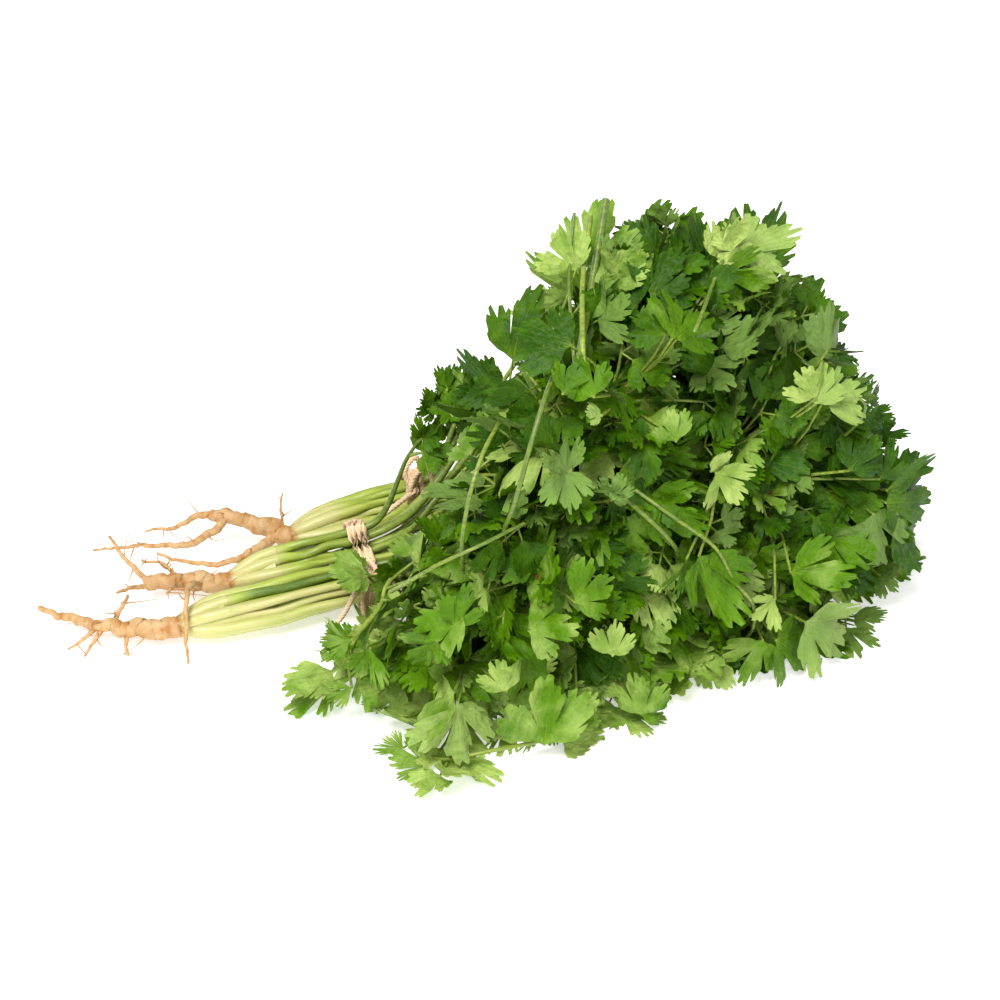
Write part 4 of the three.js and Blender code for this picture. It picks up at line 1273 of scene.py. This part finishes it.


# Leaflets and bare stalks that stand out of the mound's skin. Each leaflet runs from its foot to its
# tip and has a tint, which holds painted light and shade as well as the leaf's own green; one that
# shows its underside is so marked. Each stalk has its radius at both ends, its greenness at both
# ends, if its tip is cut and free, and the points that it runs through.
STANDING_LEAFLETS = (
    ((19, -63, 153), (-3, -48, 159), 0.05),
    ((24, -79, 140), (19, -65, 151), 0.3),
    ((13, -76, 141), (24, -69, 150), 0.35),
    ((56, -68, 154), (66, -49, 166), 0.35),
    ((54, -66, 155), (42, -55, 161), 0.3),
    ((58, -67, 153), (77, -56, 159), 0.3),
    ((32, -16, 156), (25, -6, 172), 0.8),
    ((40, -22, 150), (57, -14, 156), 0.75),
    ((42, -16, 153), (59, -8, 162), 0.6, True),
    ((88, -22, 156), (96, -12, 172), 1.0),
    ((97, -18, 159), (123, -12, 158), 1.0, True),
    ((96, -20, 159), (84, -22, 170), 1.0),
    ((93, -20, 156), (109, -6, 167), 1.0, True),
    ((87, -26, 153), (106, -20, 147), 0.5),
    ((123, -52, 130), (127, -40, 148), 0.1, True),
    ((118, -58, 110), (124, -52, 126), 1.0, True),
    ((122, -56, 110), (143, -48, 108), 0.9, True),
    ((118, -58, 113), (110, -58, 130), 0.9),
    ((153, -54, 61), (182, -44, 47), 0.05),
    ((148, -58, 70), (159, -52, 83), 0.05),
    ((154, -56, 50), (186, -45, 28), 0.0),
    ((152, -57, 57), (183, -46, 42), 0.1),
    ((145, -62, 56), (151, -66, 29), 0.0, True),
    ((133, -62, 79), (147, -54, 90), 0.05),
    ((71, -78, 99), (81, -74, 105), 0.9),
    ((73, -78, 98), (86, -79, 82), 0.9),
    ((-2, -119, 10), (1, -110, 42), 0.75),
    ((6, -114, 6), (28, -110, 3), 0.85),
    ((9, -115, 14), (22, -109, 25), 0.7),
    ((-34, -110, 29), (-33, -120, 2), 1.0, True),
    ((-75, -61, 12), (-98, -71, 10), 0.85),
    ((-46, -113, 2), (-63, -107, 5), 0.7),
    ((-43, -120, 3), (-56, -131, 3), 0.8),
    ((65, -88, 67), (72, -93, 37), 0.4),
    ((105, -82, 48), (128, -78, 38), 0.6),
    ((98, -86, 39), (85, -91, 34), 0.9),
    ((92, -92, 24), (83, -97, 4), 0.5),
    ((98, -91, 22), (119, -88, 3), 0.5),
    ((111, -87, 26), (134, -81, 4), 0.8, True),
    ((-30, -103, 67), (-49, -97, 54), 0.55),
    ((-40, -102, 54), (-52, -98, 37), 0.6),
    ((-35, -108, 33), (-50, -102, 11), 0.65),
    ((-6, -107, 57), (16, -102, 53), 0.6),
    ((-16, -114, 35), (-20, -111, 51), 0.8),
    ((13, -101, 63), (34, -94, 67), 0.6),
    ((28, -103, 36), (31, -99, 52), 0.95),
    ((39, -108, 8), (37, -103, 29), 0.6),
    ((39, -108, 8), (55, -103, 13), 0.55),
    ((-34, -104, 62), (-27, -103, 77), 0.5),
    ((12, -88, 114), (11, -83, 131), 0.35, True),
    ((12, -88, 114), (14, -92, 96), 0.4, True),
    ((12, -88, 114), (3, -86, 124), 0.35, True),
    ((30, -87, 98), (35, -84, 109), 0.4, True),
    ((30, -87, 98), (38, -84, 103), 0.4, True),
    ((57, -77, 114), (54, -73, 128), 0.65),
    ((27, -80, 132), (19, -81, 135), 1.0, True),
    ((-56, -32, 36), (-73, -32, 40), 0.75),
    ((-56, -34, 36), (-69, -35, 31), 0.7),
    ((-56, -29, 36), (-62, -26, 44), 0.6),
    ((-20, -44, 54), (-42, -42, 60), 0.25),
    ((-20, -45, 52), (-36, -45, 48), 0.3),
    ((-42, -30, 31), (-55, -30, 40), 0.45),
    ((-44, -32, 26), (-55, -32, 22), 0.5),
)
# Feathery leaflets that stand out likewise; their tints hold painted light and shade too.
FEATHERY_LEAFLETS = (
    ((-70, -85, 46), (-82, -74, 39), 0.6),
    ((-70, -80, 18), (-82, -82, 16), 0.7),
    ((60, -88, 66), (57, -91, 48), 0.4),
    ((-63, -84, 40), (-70, -88, 24), 0.6),
    ((-54, -101, 2), (-63, -92, 3), 0.6),
)
STANDING_STALKS = (
    (1.3, 1.6, 0.9, 1.0, True, (22, -64, 153), (35, -26, 148), (42, -10, 160), (49, 6, 173)),
    (0.7, 0.6, 0.9, 1.0, True, (20, -59, 157), (29, -18, 156), (35, 0, 172)),
    (1.1, 1.0, 0.7, 0.8, True, (24, -59, 157), (34, -20, 156), (42, 2, 169)),
    (0.9, 1.0, 1.0, 1.0, False, (-8, -95, 109), (0, -84, 128), (8, -72, 143)),
    (0.8, 0.8, 1.0, 0.8, False, (-30, -94, 92), (-24, -87, 109), (-19, -80, 122)),
    (0.9, 0.7, 0.8, 1.0, False, (-52, -90, 72), (-37, -94, 84), (-22, -98, 93)),
    (1.0, 0.9, 0.9, 1.0, False, (40, -87, 93), (49, -88, 82), (58, -88, 70)),
    (0.9, 0.6, 0.9, 0.9, False, (58, -85, 82), (72, -85, 68), (80, -87, 52), (88, -88, 40), (91, -91, 28)),
    (0.9, 0.7, 0.7, 0.8, False, (18, -109, 5), (-2, -113, 7), (-23, -116, 8), (-43, -118, 5)),
    (0.9, 0.7, 0.9, 1.0, False, (70, -61, 160), (82, -32, 153), (88, -24, 158), (97, -18, 158)),
    (0.7, 0.6, 1.0, 1.0, False, (138, -58, 95), (140, -54, 104), (133, -54, 111)),
)
# How far the ends of a bare stalk sink into the mound, and how far on and deeper they go inside it.
STALK_END_SINKS, STALK_ENDS_ON, STALK_ENDS_DEEPER = 5, 14, 9
# Standing leaflets face this way, with a share of the way out of the mound, and stray from it. They
# are drawn a little shorter than from foot to tip, but not shorter than the least length.
TO_FRONT_AND_UP = np.array((0, -0.6, 0.6))
STANDING_OUT, STANDING_STRAYS, STANDING_LONG, STANDING_LEAST = 0.4, 0.25, 0.95, 9

# A stem whose solid has no leaf bears these: how far along it, how far aside and the leaflets' length.
TIP_LEAVES = {
    "front": ((1.0, 0.0, 14), (0.85, 0.9, 12), (0.7, -0.9, 11)),
    "middle": ((1.0, 0.3, 12), (0.85, 1.0, 14)),
    "back": ((1.0, 0.0, 14), (0.85, 0.9, 17), (0.7, -0.9, 12), (0.72, 0.9, 17)),
}
# Their side leaflets lean as those of filling leaves do, and are a little smaller; the leaf stalks
# are a share of the leaflets' length long, and longer the further aside they stand.
TIP_STALK, TIP_STALK_ASIDE, TIP_SIDES = 0.1, 0.35, 0.85
# Along a stem's stalk, from the crown to the tie: how far it sways in millimetres and how often, and
# the places, as shares of that way, at which its radii and its greenness are set.
SWAY, SWAYS, SWAY_STARTS = 1.1, 9, 12
WAIST_AT, SWELLS_AT, WAISTS, SWELLINGS, TIE_RADIUS = 0.3, 0.8, (0.62, 1.2), (1.35, 2.15), 1.7
STALK_GREEN, GREEN_STRAYS, GREEN_STARTS, STALK_TWIST = (0.14, 0.4, 0.5, 0.85), 0.24, 6, 0.002


def add_tip_leaves(paths, stem, leaves, rng):
    """Leaves of three leaflets towards the end of a stem."""
    for t, aside, size in leaves:
        start, along = on_stalk(stem["points"], t)
        facing = unit(TO_FRONT_AND_UP + rng.normal(0, FACE_STRAYS, 3))
        growth = unit(along + unit(np.cross(along, facing)) * aside)
        fork = start + growth * (TIP_STALK + TIP_STALK_ASIDE * abs(aside)) * size
        add_leaf_stalk(paths, start, (start + fork) / 2 + along, fork)
        tint = tint_with_painted_light(fork, rng)
        for turn in (0, SIDE_LEAN, -SIDE_LEAN):
            length = size * (TIP_SIDES if turn else 1)
            add_leaflet(paths, fork, turned(growth, facing, turn), facing, length, tint, rng)


def add_standing_leaflet(stems, gathered, shapes, foot, tip, tint, turned_over=False):
    """A leaflet that stands out of the mound's skin, on a leaf stalk."""
    rng = np.random.default_rng([place + STANDING_SEED for place in (*foot, *tip)])
    foot, tip = np.array(foot, float), np.array(tip, float)
    facing = unit(outward_at(foot) * STANDING_OUT + TO_FRONT_AND_UP + rng.normal(0, STANDING_STRAYS, 3))
    paths, _ = grow_leaf_stalk(stems, gathered, foot)
    length = max(np.linalg.norm(tip - foot) * STANDING_LONG, STANDING_LEAST)
    shape = int(rng.choice(shapes))
    add_leaflet(paths, foot, tip - foot, -facing if turned_over else facing, length, tint, rng, shape)


def add_standing_stalk(stems, gathered, radii, green, cut, points):
    """A bare stalk that arches out of the mound's skin, and ends inside it unless it is cut."""
    points = [np.array(p, float) for p in points]
    name = leaf_stalk_start(stems, points[0])[0]
    for end, beside in ((0, 1),) if cut else ((0, 1), (-1, -2)):
        inwards = -outward_at(points[end])
        points[end] = points[end] + inwards * STALK_END_SINKS
        on = points[end] + unit(points[end] - points[beside]) * STALK_ENDS_ON + inwards * STALK_ENDS_DEEPER
        points.insert(len(points) if end else 0, on)
    gathered[name].add_line(smooth_path(points, 5), radii, green)


def add_stalk(paths, stem, foot):
    """The stem's own stalk: a broad blanched foot, then ribbed and greener to its tip."""
    rng = np.random.default_rng(STALK_SEED + stem["plant"]["seed"] * 100 + stem["index"])
    line = smooth_path(stem["points"], 5)
    fine = np.linspace(0, 1, len(line))
    tied = STRAIGHT_STEPS / (STRAIGHT_STEPS + FAN_STEPS)
    sway = rng.uniform(0, ROUND, 3)
    reach = np.clip(1 - fine / tied, 0, 1) * np.minimum(fine * SWAY_STARTS, 1)
    line = line + np.sin(sway + SWAYS * fine[:, None] / tied) * reach[:, None] * SWAY
    waist, swelling = foot / MM * rng.uniform(*WAISTS), rng.uniform(*SWELLINGS)
    thick = np.interp(fine, (0, tied * WAIST_AT, tied * SWELLS_AT, tied, 1),
                      (foot / MM, waist, swelling, TIE_RADIUS, STALK_TIP))
    shade = rng.normal(0, GREEN_STRAYS)
    green = np.interp(fine, (0, tied * WAIST_AT, tied, 1), STALK_GREEN)
    green += shade * np.minimum(fine * GREEN_STARTS / tied, 1)
    twist = rng.uniform(-STALK_TWIST, STALK_TWIST)
    paths.add_line(line, thick, np.clip(green, 0, 1), twist)


class CORIANDER_OT_leafy_stems(bpy.types.Operator):
    """Grow the leafy stems: ribbed stalks, leaf stalks and toothed leaflets"""
    bl_idname = "coriander.leafy_stems"
    bl_label = "Leafy stems"

    def execute(self, context):
        look = context.scene.coriander
        stems = all_stems()
        gathered = {name: Paths() for name in stems}
        for number, (name, stem) in enumerate(stems.items()):
            rng = np.random.default_rng(LEAF_SEED + number)
            add_stalk(gathered[name], stem, look.stalk.foot)
            for kind, place in stem["leaves"]:
                add_solid_leaf(gathered[name], kind, place, rng)
            if not stem["leaves"]:
                add_tip_leaves(gathered[name], stem, TIP_LEAVES[name.split("_")[2]], rng)
        add_fill_leaves(stems, gathered, look.leaf.more_leaves, look.leaf.leaflet)
        for table, shapes in ((STANDING_LEAFLETS, LOBED), (FEATHERY_LEAFLETS, FEATHERY)):
            for row in table:
                add_standing_leaflet(stems, gathered, shapes, *row)
        for thick, thin, first, last, cut, *points in STANDING_STALKS:
            add_standing_stalk(stems, gathered, (thick, thin), (first, last), cut, points)
        leaflets = leaflet_collection(look.leaf.thickness / look.leaf.leaflet)
        tree = leafy_stem_tree()
        inputs = {
            "Leaflets": leaflets, "Ribs": look.stalk.ribs, "Rib depth": look.stalk.rib_depth,
            "Leaf": fresh_leaf(look.leaf), "Stalk": fresh_stalk(look.stalk),
        }
        for name, paths in gathered.items():
            grow_piece(name + "_grown", paths, tree, inputs, "leaf", name)
        for shape in list(leaflets.objects):
            bpy.data.objects.remove(shape)
        bpy.data.collections.remove(leaflets)
        return {"FINISHED"}


# ---- Crowns, roots and ties ----

CROWN_SEED, ROOT_SEED, TIE_SEED = 60, 70, 80
# A crown's core: its radii and greenness from the root up.
CORE_FROM, CORE_TO, CORE_POINTS = -0.04, 0.96, 9
CORE_RADII = (CROWN_COLLAR * 0.86, CROWN_COLLAR * 0.98, SLOT_CROWN * 0.92)
CORE_GREEN = (-0.7, -0.1, 0, 0.05, 0.1, 0.14, 0.14, 0.14, 0.14)
# A sheath's way, each point as how far up the crown it is and how far out towards the stalk's foot,
# its radii as shares of the foot's, how those vary, its greenness, and how deep its ribs are as a
# share of the stalks'.
SHEATH_WAY = ((-0.5, 0.3), (3, 0.44), (8, 0.66), (14, 0.88), (CROWN_LENGTH + 1, 1.0))
SHEATH_RADII, SHEATHS_VARY = np.array((0.7, 1.02, 1.1, 1)), (0.95, 1.12)
SHEATH_GREEN, SHEATH_RIBS = (-0.6, -0.12, 0.02, 0.1, 0.14), 0.5


class CORIANDER_OT_crowns(bpy.types.Operator):
    """Make the crowns: the blanched sheaths of the stalks, wrapped round each other above the root"""
    bl_idname = "coriander.crowns"
    bl_label = "Crowns"

    def execute(self, context):
        look = context.scene.coriander.stalk
        tree = cord_tree()
        inputs = {"Ribs": look.ribs, "Rib depth": look.rib_depth * SHEATH_RIBS, "Skin": fresh_stalk(look)}
        for name, plant in PLANTS.items():
            rng = np.random.default_rng(CROWN_SEED + plant["seed"])
            paths = Paths()
            core = [plant["collar"] + plant_axis(plant) * CROWN_LENGTH * t
                    for t in np.linspace(CORE_FROM, CORE_TO, CORE_POINTS)]
            paths.add_line(core, CORE_RADII, CORE_GREEN)
            for index in range(plant["stems"]):
                way = [bundle_place(plant, "collar", index, along, SLOT_CROWN * share)
                       for along, share in SHEATH_WAY]
                wide = look.foot / MM * rng.uniform(*SHEATHS_VARY)
                paths.add_line(smooth_path(way, 3), SHEATH_RADII * wide, SHEATH_GREEN)
            grow_piece(f"crown_{name}_sheaths", paths, tree, inputs, "crown", f"crown_{name}")
        return {"FINISHED"}


# The lumps round a root: how often round it, which of its phases, how fast they turn along it in
# radians for each millimetre, and how large they are.
LUMPS = ((2, 0, 0.21, 0.5), (3, 1, -0.33, 0.35), (1, 2, 0.55, 0.45), (5, 4, 1.3, 0.2), (4, 5, -2.1, 0.2))
# Its cork rings: the steps between them, their number and width, and how fast they turn round it.
RING_STEPS, RINGS, RING_WIDTH, RING_TURNS, RING_PHASE = (2.4, 5.5), 60, 0.55, 5, 3
# Shares of the knobs' size for lumps and rings, and how much narrower its start is, over which length.
LUMP_SHARE, RING_SHARE, START_NARROWER, START_LONG = 0.45, 0.5, 0.22, 0.8
# How brown it is on a ring, at the tip and at its start, and over which length there.
RING_BROWN, TIP_BROWN, START_BROWN, BROWN_LONG = 0.75, 0.25, 0.7, 2.2
# Its bends: the turns along X, Y and Z in radians for each millimetre, slow and quick, how large the
# quick ones are, over which length they set in, and how far they go with the radius and at least.
SLOW_BENDS, QUICK_BENDS, QUICK_SHARE, BENDS_START = (0.5, 0.62, 0.42), (1.3, 1.1, 1.5), 0.5, 6
BEND_SHARE, BEND_LEAST = 0.1, 0.12
# Steps between given points and sides round a taproot and round a side root, and how far a taproot
# runs on into its crown.
TAPROOT, SIDE_ROOT, INTO_CROWN = (14, 26), (9, 12), 1.2
# A rootlet: how far it leans along the root, its length, curl, start and end radii, and its start in
# the root as a share of the root's radius.
HAIR_LEANS, HAIR_LENGTHS, HAIR_CURL, HAIR_STARTS, HAIR_END = (0.1, 0.9), (3, 10), 0.6, (0.3, 0.65), 0.12
HAIR_FROM, HAIR_MOST, HAIR_KNOBS, HAIR_POINTS, HAIR_SIDES = 0.6, 0.7, 0.05, 7, 5


def root_loft(points, thick, thin, sides, knobs, rng):
    """A knobbly root along the points, with raised cork rings, as a loft with its scars."""
    run = run_along(points)
    marks_at = np.cumsum(rng.uniform(*RING_STEPS, RINGS))
    bends = rng.uniform(0, ROUND, 6)
    rings, scars = [], []
    for i, (middle, normal, side) in enumerate(tube_frames(points)):
        t = i / (len(points) - 1)
        radius = lerp(thick, thin, t ** ROOT_TAPER) * (1 - START_NARROWER * math.exp(-run[i] / START_LONG))
        gaps = np.abs(marks_at - run[i])
        on_ring = math.exp(-(np.min(gaps) / RING_WIDTH) ** 2)
        ring, row = [], []
        for angle in np.arange(sides) / sides * math.tau:
            lumps = sum(math.sin(often * angle + bends[phase] + run[i] * speed) * size
                        for often, phase, speed, size in LUMPS)
            part = 0.5 + 0.5 * math.sin(angle * 2 + bends[RING_PHASE] + RING_TURNS * np.argmin(gaps))
            r = radius * (1 + knobs * (LUMP_SHARE * lumps + RING_SHARE * on_ring * part))
            ring.append(middle + (normal * math.cos(angle) + side * math.sin(angle)) * r)
            brown = RING_BROWN * on_ring * part + TIP_BROWN * t + START_BROWN * math.exp(-run[i] / BROWN_LONG)
            row.append(min(brown, 1))
        rings.append(np.array(ring))
        scars.append(row)
    return loft(rings, scars)


def crooked(line, radius):
    """The line of a root with its bends, which are about 12 mm long."""
    run = run_along(line)[:, None]
    phases = np.abs(line[0]) % ROUND
    bends = np.sin(phases + run * SLOW_BENDS) + QUICK_SHARE * np.sin(phases + run * QUICK_BENDS)
    return line + bends * np.minimum(run / BENDS_START, 1) * (BEND_SHARE * radius + BEND_LEAST)


def root_hair(line, thick, thin, rng):
    """A fine rootlet somewhere on a root."""
    i = int(rng.integers(len(line) // 6, len(line) - 1))
    radius = lerp(thick, thin, (i / len(line)) ** ROOT_TAPER)
    along = unit(line[i + 1] - line[i])
    way = turned(square_to(along), along, rng.uniform(0, ROUND))
    way = unit(way + along * rng.uniform(*HAIR_LEANS))
    length = rng.uniform(*HAIR_LENGTHS)
    curl = rng.normal(0, HAIR_CURL, 3)
    start = line[i] + way * radius * HAIR_FROM
    hair = [start + way * length * s + curl * length * s * s for s in np.linspace(0, 1, HAIR_POINTS)]
    base = min(rng.uniform(*HAIR_STARTS), radius * HAIR_MOST)
    return root_loft(np.array(hair), base, HAIR_END, HAIR_SIDES, HAIR_KNOBS, rng)


class CORIANDER_OT_roots(bpy.types.Operator):
    """Make the roots: knobbly taproots with cork rings, forked side roots and fine rootlets"""
    bl_idname = "coriander.roots"
    bl_label = "Roots"

    def execute(self, context):
        look = context.scene.coriander.root
        skin = washed_root(look)
        for name, roots in ROOTS.items():
            plant = PLANTS[name]
            rng = np.random.default_rng(ROOT_SEED + plant["seed"])
            lofts, lines = [], []
            for (thick, thin), *through in roots:
                steps, sides = SIDE_ROOT if lines else TAPROOT
                line = crooked(smooth_path(through, steps), thick)
                if not lines:
                    line = np.vstack((line[0] + plant_axis(plant) * INTO_CROWN, line))
                lofts.append(root_loft(line, thick, thin, sides, look.knobs, rng))
                lines.append((line, thick, thin))
            for _ in range(look.hairs):
                lofts.append(root_hair(*lines[int(rng.integers(0, len(lines)))], rng))
            mesh = skin_mesh(f"root_{name}_grown", lofts)
            mesh.materials.append(skin)
            piece(f"root_{name}_grown", mesh, "root", f"root_{name}")
        return {"FINISHED"}


# A tie's wraps: their places along the bundle, the points round one, how their radii vary and how far
# they lean; then the radii of the strand in a wrap, in the knot, in a standing loop and in an end.
WRAPS_AT, WRAP_STEPS, WRAPS_VARY, WRAP_LEAN = (-2.9, -1.5, 0.0, 1.4, 2.8), 44, (-0.3, 0.4), 1.2
WRAP_STRAND, KNOT_STRAND, LOOP_STRAND, END_STRAND = (1.4, 1.4), (1.25, 1.25), (1.5, 1.4, 1.5), (1.5, 1.4, 1.0)
# The knot's turns: their number, radius and how much smaller each next one is, and their length in
# radians and points. A standing loop is doubled, each strand so far beside it.
KNOT_TURNS, KNOT_RADIUS, KNOT_SMALLER, KNOT_ROUND, KNOT_POINTS = 3, 2.0, 0.3, 6.0, 16
BESIDE_LOOP = 1.3
# Ribs round a strand and how deep its furrows are.
STRAND_RIBS, STRAND_FURROWS = 4, 0.32


def wrap_line(centres, x, radius, lean):
    """One wrap of strand round the bundles, closed on itself, leaning by some millimetres."""
    loop = []
    for i in range(WRAP_STEPS + 1):
        angle = i / WRAP_STEPS * math.tau
        way = np.array((0, math.cos(angle), math.sin(angle)))
        outer = max(centres, key=lambda centre: centre.dot(way))
        loop.append(np.array((x + lean * math.sin(angle), outer[1], outer[2])) + way * radius)
    smooth = np.array(loop)
    for _ in range(2):
        smooth[1:-1] = (smooth[:-2] + 2 * smooth[1:-1] + smooth[2:]) / 4
        smooth[0] = smooth[-1] = (smooth[1] + 2 * smooth[0] + smooth[-2]) / 4
    return smooth


class CORIANDER_OT_ties(bpy.types.Operator):
    """Wind the ties: strands of twisted raffia round the stalks, with a knot and loose ends"""
    bl_idname = "coriander.ties"
    bl_label = "Ties"

    def execute(self, context):
        look = context.scene.coriander.tie
        tree = cord_tree()
        inputs = {"Ribs": STRAND_RIBS, "Rib depth": STRAND_FURROWS, "Skin": twisted_raffia(look)}
        for name, tie in TIES.items():
            rng = np.random.default_rng(TIE_SEED + len(name))
            lines = []
            centres = [np.array(PLANTS[plant]["tie"], float) for plant in tie["plants"]]
            for offset in WRAPS_AT:
                radius = TIE_BUNDLE + TIE_STRAND + rng.uniform(*WRAPS_VARY)
                lean = rng.uniform(-WRAP_LEAN, WRAP_LEAN)
                lines.append((wrap_line(centres, centres[0][0] + offset, radius, lean), WRAP_STRAND))
            for turn in range(KNOT_TURNS):
                tilt = unit(rng.normal(0, 1, 3))
                across = square_to(tilt)
                other = np.cross(tilt, across)
                radius = KNOT_RADIUS - KNOT_SMALLER * turn
                loop = [tie["knot"] + (across * math.cos(a) + other * math.sin(a)) * radius
                        for a in np.linspace(0, KNOT_ROUND, KNOT_POINTS)]
                lines.append((loop, KNOT_STRAND))
            if "standing" in tie:
                line = smooth_path(tie["standing"], 8)
                lines += [(line + (0, side, 0), LOOP_STRAND) for side in (-BESIDE_LOOP, BESIDE_LOOP)]
            lines += [(smooth_path(strand, 8), END_STRAND) for strand in tie["strands"]]
            paths = Paths()
            for line, radii in lines:
                paths.add_line(line, radii, twist=look.twist)
            grow_piece(f"tie_{name}_raffia", paths, tree, inputs, "tie", f"tie_{name}")
        return {"FINISHED"}


# ---- Stage ----

# The view: the camera looks at this place in the part's frame, from this turn round it and height over
# the horizon, in degrees, through a long lens.
VIEW_TARGET = Vector((-2.5, -19.9, 60)) * MM
VIEW_AZIMUTH, VIEW_ELEVATION, VIEW_DISTANCE, VIEW_LENS, SENSOR = -12, 36, 1.0, 90, 36
# The floor reaches this far each way. The softboxes have a place and a size and look at the bunch's
# middle.
FLOOR_HALF = 8.0
BUNCH_MIDDLE = Vector((0.02, 0.0, 0.05))
OVERHEAD, IN_FRONT = ((-0.5, -0.6, 1.5), 0.8), ((0.5, -1.6, 0.8), 1.2)


def looking(name, data, at, back):
    """An object at a place, that looks against the way back."""
    made = bpy.data.objects.new(name, data)
    made.location = at
    made.rotation_mode = "QUATERNION"
    made.rotation_quaternion = (-back).to_track_quat("-Z", "Y")
    bpy.context.scene.collection.objects.link(made)
    return made


def softbox(name, place, power):
    at, size = place
    light = bpy.data.lights.new(name, "AREA")
    light.shape, light.size, light.energy = "DISK", size, power
    looking(name, light, at, Vector(at) - BUNCH_MIDDLE)


class CORIANDER_OT_stage(bpy.types.Operator):
    """Set the stage: a pale floor, two softboxes, a white room and the camera"""
    bl_idname = "coriander.stage"
    bl_label = "Stage"

    def execute(self, context):
        look = context.scene.coriander.stage
        scene = context.scene
        mesh = bpy.data.meshes.new("floor")
        corners = [(x * FLOOR_HALF, y * FLOOR_HALF, 0) for x, y in ((-1, -1), (1, -1), (1, 1), (-1, 1))]
        mesh.from_pydata(corners, [], [(0, 1, 2, 3)])
        mesh.materials.append(matt_floor(look.floor, look.floor_glow))
        floor = bpy.data.objects.new("floor", mesh)
        scene.collection.objects.link(floor)
        softbox("softbox_overhead", OVERHEAD, look.key_light)
        softbox("softbox_front", IN_FRONT, look.fill_light)
        world = bpy.data.worlds.new("white_room")
        world.use_nodes = True
        world.node_tree.nodes.clear()
        sky = add_node(world.node_tree, "ShaderNodeBackground", (linear("ffffff"), look.room_light))
        add_node(world.node_tree, "ShaderNodeOutputWorld", (sky,))
        scene.world = world
        scene.view_settings.view_transform = "Standard"
        turn, rise = math.radians(VIEW_AZIMUTH), math.radians(VIEW_ELEVATION)
        back = Vector((math.sin(turn) * math.cos(rise), -math.cos(turn) * math.cos(rise), math.sin(rise)))
        lens = bpy.data.cameras.new("camera")
        lens.lens, lens.sensor_width = VIEW_LENS, SENSOR
        scene.camera = looking("camera", lens, VIEW_TARGET + back * VIEW_DISTANCE, back)
        return {"FINISHED"}


class CORIANDER_PT_panel(bpy.types.Panel):
    """The bunch's pieces and settings"""
    bl_idname = "CORIANDER_PT_panel"
    bl_label = "Coriander bunch"
    bl_space_type = "VIEW_3D"
    bl_region_type = "UI"
    bl_category = "Coriander"

    def draw(self, context):
        settings = context.scene.coriander
        for operator, group in STEPS:
            self.layout.operator(f"coriander.{operator}")
            rows = getattr(settings, group)
            for name in rows.__annotations__:
                self.layout.prop(rows, name)


# Each step's operator and the settings that it reads.
STEPS = (
    ("roots", "root"), ("crowns", "stalk"), ("ties", "tie"), ("leafy_stems", "leaf"), ("stage", "stage"),
)

CLASSES = (
    LeafSettings, StalkSettings, RootSettings, TieSettings, StageSettings, BunchSettings,
    CORIANDER_OT_leafy_stems, CORIANDER_OT_crowns, CORIANDER_OT_roots, CORIANDER_OT_ties,
    CORIANDER_OT_stage, CORIANDER_PT_panel,
)


def register():
    for made in CLASSES:
        bpy.utils.register_class(made)
    bpy.types.Scene.coriander = PointerProperty(type=BunchSettings)


def unregister():
    del bpy.types.Scene.coriander
    for made in reversed(CLASSES):
        bpy.utils.unregister_class(made)


def main():
    register()
    for operator, _ in STEPS:
        getattr(bpy.ops.coriander, operator)()


if __name__ == "__main__":
    main()
